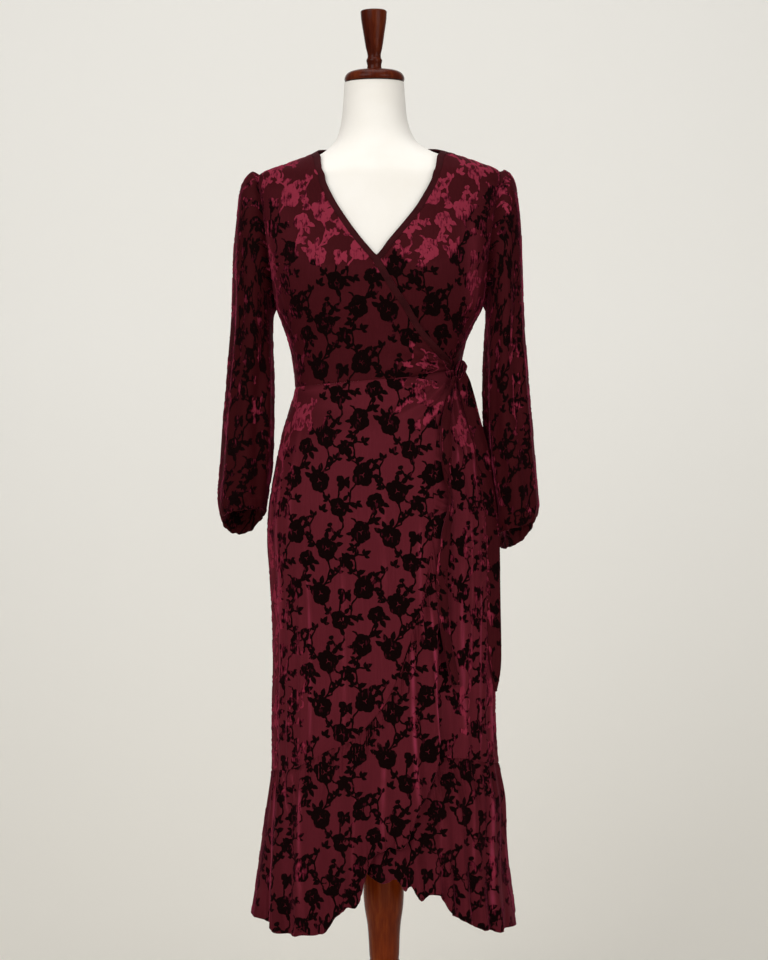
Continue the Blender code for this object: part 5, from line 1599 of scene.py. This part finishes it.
def sleeves():
    for name, node, sleeve, arm, sign in (
            ("sleeveRight", "sleeve_right", rightSleeve, rightArmhole, -1),
            ("sleeveLeft", "sleeve_left", leftSleeve, leftArmhole, 1)):
        points, at = sleevePoints(sleeve, arm, sign)
        across, down = pathLengths(points)
        foldRow = int(np.argmin(np.abs(at - len(sleeve["rows"]))))
        middle = across.shape[1] // 2
        uvs = np.stack((across - across[:, middle:middle + 1], down[foldRow][None, :] - down), -1)
        look = dict(sleeveLook, backing=sleeve["backing"])
        # painted sheen, less inside the roll over the cuff and, by calm, near the top of the sleeve
        inside = softStep((at - len(sleeve["rows"]) + 0.4) / 0.8)[:, None]
        calm = 1 - sleeve["calm"] * softStep((5 - at) / 3)[:, None]
        addCloth(name, node, points, uvs, look, ("top",), tube=True,
                 nap=paintedSheenShare(points, look) * (1 - 0.8 * inside) * calm)


def cuffs():
    for name, node, sleeve in (("cuffRight", "cuff_right", rightSleeve),
                               ("cuffLeft", "cuff_left", leftSleeve)):
        x, y, low, radius = sleeve["cuff"]
        u, v = params(cuffSizes["columns"], cuffSizes["rows"])
        out = radius + cuffSizes["swell"] * np.sin(np.pi * v)
        turn = 2 * np.pi * u
        points = np.stack((x + out * np.sin(turn), y - out * np.cos(turn),
                           low + cuffSizes["height"] * (1 - v)), -1)
        uvs = np.stack((u * cuffSizes["round"], -v * cuffSizes["height"]), -1)
        addCloth(name, node, points, uvs, cuffSizes, tube=True, lip=False, material=plainBand,
                 slotName="band", pile=False)


print("sleeves")
sleeves()
cuffs()

# the tie: a knot and two tails

# rows down a tail: angle, height, distance off the skin, width and twist
tailLook = {"columns": 8, "rows": 150, "held": "hung", "thickness": 0.0012, "fold": 0.0014,
            "backing": 0.14, "litEdge": 0.9, "litMiddle": 0.08, "restsOn": ["skirtFrontLeft"]}
tailFront = (
    (56, 1.0860, 0.0100, 0.014, 10), (49, 1.0600, 0.0090, 0.015, 25), (40, 1.0150, 0.0080, 0.017, 5),
    (36, 0.9700, 0.0080, 0.018, -10), (35, 0.9270, 0.0085, 0.015, 30), (35.4, 0.8875, 0.0095, 0.013, 40),
    (31.5, 0.8410, 0.0085, 0.016, 10), (29, 0.7730, 0.0080, 0.018, -15), (30.4, 0.7080, 0.0080, 0.018, 10),
    (32, 0.6700, 0.0080, 0.020, 25), (37, 0.6030, 0.0080, 0.015, 0),
)
tailSide = (
    (68, 1.0960, 0.0085, 0.016, -20), (70, 1.0780, 0.0090, 0.023, -35), (70, 1.0500, 0.0095, 0.026, -38),
    (70, 1.0100, 0.0090, 0.026, -35), (70, 0.9600, 0.0090, 0.026, -35), (70, 0.9000, 0.0088, 0.026, -35),
    (70, 0.8300, 0.0088, 0.026, -35), (70, 0.7400, 0.0090, 0.026, -35), (71, 0.6700, 0.0092, 0.026, -36),
    (72, 0.6300, 0.0100, 0.022, -36), (73, 0.6050, 0.0100, 0.013, -34), (73, 0.5880, 0.0095, 0.005, -30),
)


def addTail(name, node, rows, flat):
    table = np.array(rows)
    u, v = params(tailLook["columns"], tailLook["rows"])
    angle, height, out, width, twist = np.moveaxis(
        between(np.arange(len(rows)), table, v * (len(rows) - 1)), -1, 0)
    away = outward(angle, height)
    turn = np.radians(twist)[..., None]
    beside = unit(np.cross(away, np.array((0.0, 0.0, -1.0)))) * np.cos(turn) - away * np.sin(turn)
    fold = tailLook["fold"] * (np.cos(np.pi * (u - 0.5)) - 0.6 + 0.35 * np.sin(3 * np.pi * u + 9 * v))
    points = raised(angle, height, out + fold) + beside * ((u - 0.5) * width)[..., None]
    across, down = pathLengths(points)
    # painted highlight along the tail's edges and a little over its middle
    edges = softStep((np.abs(2 * u - 1) - 0.45) / 0.4) * (0.7 + 0.5 * np.sin(11 * v + 4 * u))
    nap = np.clip(tailLook["litEdge"] * edges + tailLook["litMiddle"], 0, 1)
    addCloth(name, node, points, np.stack((across, -down), -1), dict(tailLook, flat=flat), nap=nap)


def addKnot():
    bm = bmesh.new()
    bmesh.ops.create_uvsphere(bm, u_segments=72, v_segments=48, radius=1.0)
    middle = Vector(raised(np.array(knot["angle"]), np.array(knot["height"]), knot["out"]).tolist())
    away = Vector(outward(knot["angle"], knot["height"]).tolist())
    sideWay = Vector((0, 0, 1)).cross(away).normalized()
    upWay = away.cross(sideWay)
    wide, deep, tall = knot["halfSizes"]
    paintedSheenLayer = bm.verts.layers.float.new("nap")
    for vert in bm.verts:
        side, ahead, up = vert.co
        turn = math.atan2(side, ahead)
        pleat = math.cos(knot["pleats"] * turn + 3 * up)
        # painted highlight on the crests of the pleats
        vert[paintedSheenLayer] = 0.15 + 0.75 * max(0.0, pleat) ** 3
        pinch = 1 - knot["pinch"] * math.exp(-(up / 0.35) ** 2) + 0.06 * math.cos(3 * turn)
        wrap = knot["wrap"] * math.exp(-((up - 0.25 * side) / 0.34) ** 4)
        scale = pinch + wrap + knot["crease"] * pleat * (1 - up * up)
        vert.co = (middle + sideWay * (side * scale + 0.25 * up) * wide
                   - away * ahead * scale * deep + upWay * up * tall)
    layer = bm.loops.layers.uv.new("cloth")
    for face in bm.faces:
        for loop in face.loops:
            loop[layer].uv = (loop.vert.co.x + loop.vert.co.y, loop.vert.co.z)
    bmesh.ops.recalc_face_normals(bm, faces=bm.faces)
    addPiece("tieKnot", bm, velvetPile, "velvet", "tie_knot")


print("tie")
addKnot()
addTail("tieTailFront", "tie_tail_front", tailFront, (0.026, 0.50))
addTail("tieTailSide", "tie_tail_side", tailSide, (0.030, 0.52))

# dress form and stand

# the shoulder tips stand further inside the sleeves' caps: where this starts, and over how far
formSizes = {"columns": 96, "rows": 130, "bottom": 0.790, "top": 1.5605, "ease": 0.0074,
             "tipEase": 0.0090, "tipAcross": (0.145, 0.035), "tipUp": (1.25, 0.10), "tipTop": (1.45, 0.02)}


def formTorso():
    u, v = params(formSizes["columns"], formSizes["rows"])
    angle = 360 * u
    height = formSizes["top"] + (formSizes["bottom"] - formSizes["top"]) * v
    (side, over), (low, rising), (top, falling) = (formSizes[key] for key in ("tipAcross", "tipUp", "tipTop"))
    tip = softStep((np.abs(skin(angle, height)[..., 0]) - side) / over)
    tip = tip * softStep((height - low) / rising) * softStep((top - height) / falling)
    points = raised(angle, height, -formSizes["ease"] - formSizes["tipEase"] * tip)
    for row in (0, -1):
        points[row, :, 2] = points[row, :, 2].mean()
    bm = bmesh.new()
    for vert, spot in gridSpots(bm, formSizes["columns"], formSizes["rows"]).items():
        vert.co = points[spot]
    bmesh.ops.remove_doubles(bm, verts=bm.verts, dist=1e-6)
    bmesh.ops.holes_fill(bm, edges=[edge for edge in bm.edges if edge.is_boundary], sides=0)
    bmesh.ops.recalc_face_normals(bm, faces=bm.faces)
    addPiece("formTorso", bm, creamJersey, "form_cloth", "form_torso")


standShapes = {      # radius and height down the profile
    "neckCap": ((0.0, 1.5797), (0.018, 1.5796), (0.030, 1.5792), (0.038, 1.5778), (0.0440, 1.5745),
                (0.0470, 1.5700), (0.0480, 1.5655), (0.0470, 1.5618), (0.0, 1.5618)),
    "finial": ((0.0, 1.6760), (0.0190, 1.6760), (0.0207, 1.6745), (0.0208, 1.6700), (0.0170, 1.6400),
               (0.0130, 1.6150), (0.0106, 1.6030), (0.0108, 1.6005), (0.0126, 1.5965), (0.0112, 1.5880),
               (0.0125, 1.5796), (0.0, 1.5796)),
    "pole": ((0.0, 0.7890), (0.0250, 0.7890), (0.0250, 0.6500), (0.0290, 0.6000), (0.0320, 0.5000),
             (0.0340, 0.3800), (0.0330, 0.3000), (0.0312, 0.2450), (0.0266, 0.2140), (0.0238, 0.1650),
             (0.0234, 0.1580), (0.0262, 0.1540), (0.0262, 0.1460), (0.0234, 0.1420), (0.0230, 0.1000),
             (0.0260, 0.0600), (0.0330, 0.0420), (0.0350, 0.0353), (0.0, 0.0353)),
    "base": ((0.0, 0.0352), (0.0480, 0.0350), (0.0620, 0.0340), (0.1350, 0.0290), (0.1700, 0.0240),
             (0.1860, 0.0180), (0.1900, 0.0110), (0.1880, 0.0040), (0.1850, 0.0), (0.0, 0.0)),
    "segments": 72, "steps": 4,
}


def turned(name, material, slotName, node):
    # a profile spun round the upright axis, its corners eased by a curve through the rows
    rows = np.array(standShapes[name])
    body = rows[1:-1]
    keys = np.concatenate(([0], np.cumsum(np.linalg.norm(np.diff(body, axis=0), axis=1))))
    fine = []
    for low, high in zip(keys, keys[1:]):
        fine += list(between(keys, body, np.linspace(low, high, standShapes["steps"] + 1)[:-1]))
    bm = bmesh.new()
    verts = [bm.verts.new((radius, 0, height)) for radius, height in (rows[0], *fine, body[-1], rows[-1])]
    edges = [bm.edges.new(pair) for pair in zip(verts, verts[1:])]
    bmesh.ops.spin(bm, geom=verts + edges, cent=(0, 0, 0), axis=(0, 0, 1), angle=2 * math.pi,
                   steps=standShapes["segments"], use_merge=True)
    bmesh.ops.remove_doubles(bm, verts=bm.verts, dist=1e-6)
    bmesh.ops.recalc_face_normals(bm, faces=bm.faces)
    addPiece(name, bm, material, slotName, node)


print("form and stand")
formTorso()
turned("neckCap", darkWood, "dark_wood", "form_neck_cap")
turned("finial", darkWood, "dark_wood", "form_finial")
turned("pole", poleWood, "pole_wood", "form_pole")
turned("base", poleWood, "pole_wood", "form_base")

# floor, light and camera

stageSizes = {"front": -3.2, "back": 1.0, "curve": 1.5, "curveSteps": 12, "wall": 4.5, "halfWidth": 5.0,
              "wallHalf": 1.9, "below": 0.0005, "fade": (0.1, 1.3), "roughness": 0.9,
              "low": (0.88, 0.845, 0.77), "high": (0.985, 0.965, 0.915)}
lights = (      # name, place, aimed at, size, watts
    ("keyLight", (-2.2, -3.2, 3.2), (0, 0, 1.0), 3.0, 105),
    ("fillLight", (2.5, -3.0, 2.0), (0, 0, 0.9), 2.5, 50),
    ("topLight", (0, -0.3, 3.6), (0, 0, 1.0), 2.0, 36),
)
skyLight = {"colour": (0.93, 0.93, 0.92), "strength": 0.21}


def addStage():
    bm = bmesh.new()
    curve = [(stageSizes["front"], 0.0), (stageSizes["back"], 0.0)]
    for step in range(stageSizes["curveSteps"]):
        turn = math.radians(90 * (step + 1) / stageSizes["curveSteps"])
        curve.append((stageSizes["back"] + stageSizes["curve"] * math.sin(turn),
                      stageSizes["curve"] * (1 - math.cos(turn))))
    curve.append((stageSizes["back"] + stageSizes["curve"], stageSizes["wall"]))
    line = [bm.verts.new((0, y, z - stageSizes["below"])) for y, z in curve]
    edges = [bm.edges.new(pair) for pair in zip(line, line[1:])]
    bmesh.ops.extrude_edge_only(bm, edges=edges)
    for vert in bm.verts:
        wide = stageSizes["halfWidth" if vert.co.y <= stageSizes["back"] else "wallHalf"]
        vert.co.x = -wide if vert in line else wide
    bmesh.ops.recalc_face_normals(bm, faces=bm.faces)
    if bm.faces[:][0].normal.z < 0:
        bmesh.ops.reverse_faces(bm, faces=bm.faces)
    material, shader = startMaterial("paperBackdrop", stageSizes)
    # painted light and shade: the backdrop is coloured darker low down and lighter up the wall
    up = addNode(material, "ShaderNodeSeparateXYZ", Vector=objectPlace(material)).outputs["Z"]
    colour = addRamp(material, mapRange(material, up, *stageSizes["fade"]),
                     ((0.0, stageSizes["low"]), (1.0, stageSizes["high"])))
    material.node_tree.links.new(colour, shader.inputs["Base Color"])
    backdrop = linked("backdrop", makeMesh("backdrop", bm), material)
    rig.stage(backdrop)


def addLights():
    for name, place, aim, size, watts in lights:
        lamp = bpy.data.lights.new(name, "AREA")
        lamp.size = size
        lamp.energy = watts
        holder = linked(name, lamp)
        holder.location = place
        holder.rotation_euler = (Vector(aim) - Vector(place)).to_track_quat("-Z", "Y").to_euler()
    world = bpy.data.worlds.new("studio")
    world.use_nodes = True
    sky = world.node_tree.nodes["Background"]
    sky.inputs["Color"].default_value = (*skyLight["colour"], 1)
    sky.inputs["Strength"].default_value = skyLight["strength"]
    bpy.context.scene.world = world
    bpy.context.scene.view_settings.view_transform = "Standard"


cameraSettings = {"lens": 105.5, "sensor": 36, "far": 50, "place": (0.008, -4.5, 0.9248), "roll": 0.0113}


def addCamera():
    lens = bpy.data.cameras.new("camera")
    lens.lens = cameraSettings["lens"]
    lens.sensor_width = cameraSettings["sensor"]
    lens.clip_end = cameraSettings["far"]
    camera = linked("camera", lens)
    camera.location = cameraSettings["place"]
    camera.rotation_euler = (math.radians(90), cameraSettings["roll"], 0)
    bpy.context.scene.camera = camera


print("stage, lights and camera")
addStage()
addLights()
addCamera()

with open("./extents.json", "w") as sizes:
    box = lambda pair: [[float(number) for number in corner] for corner in pair]
    json.dump({"cad": box(cadBox), "visual": box(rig.bounds())}, sizes)
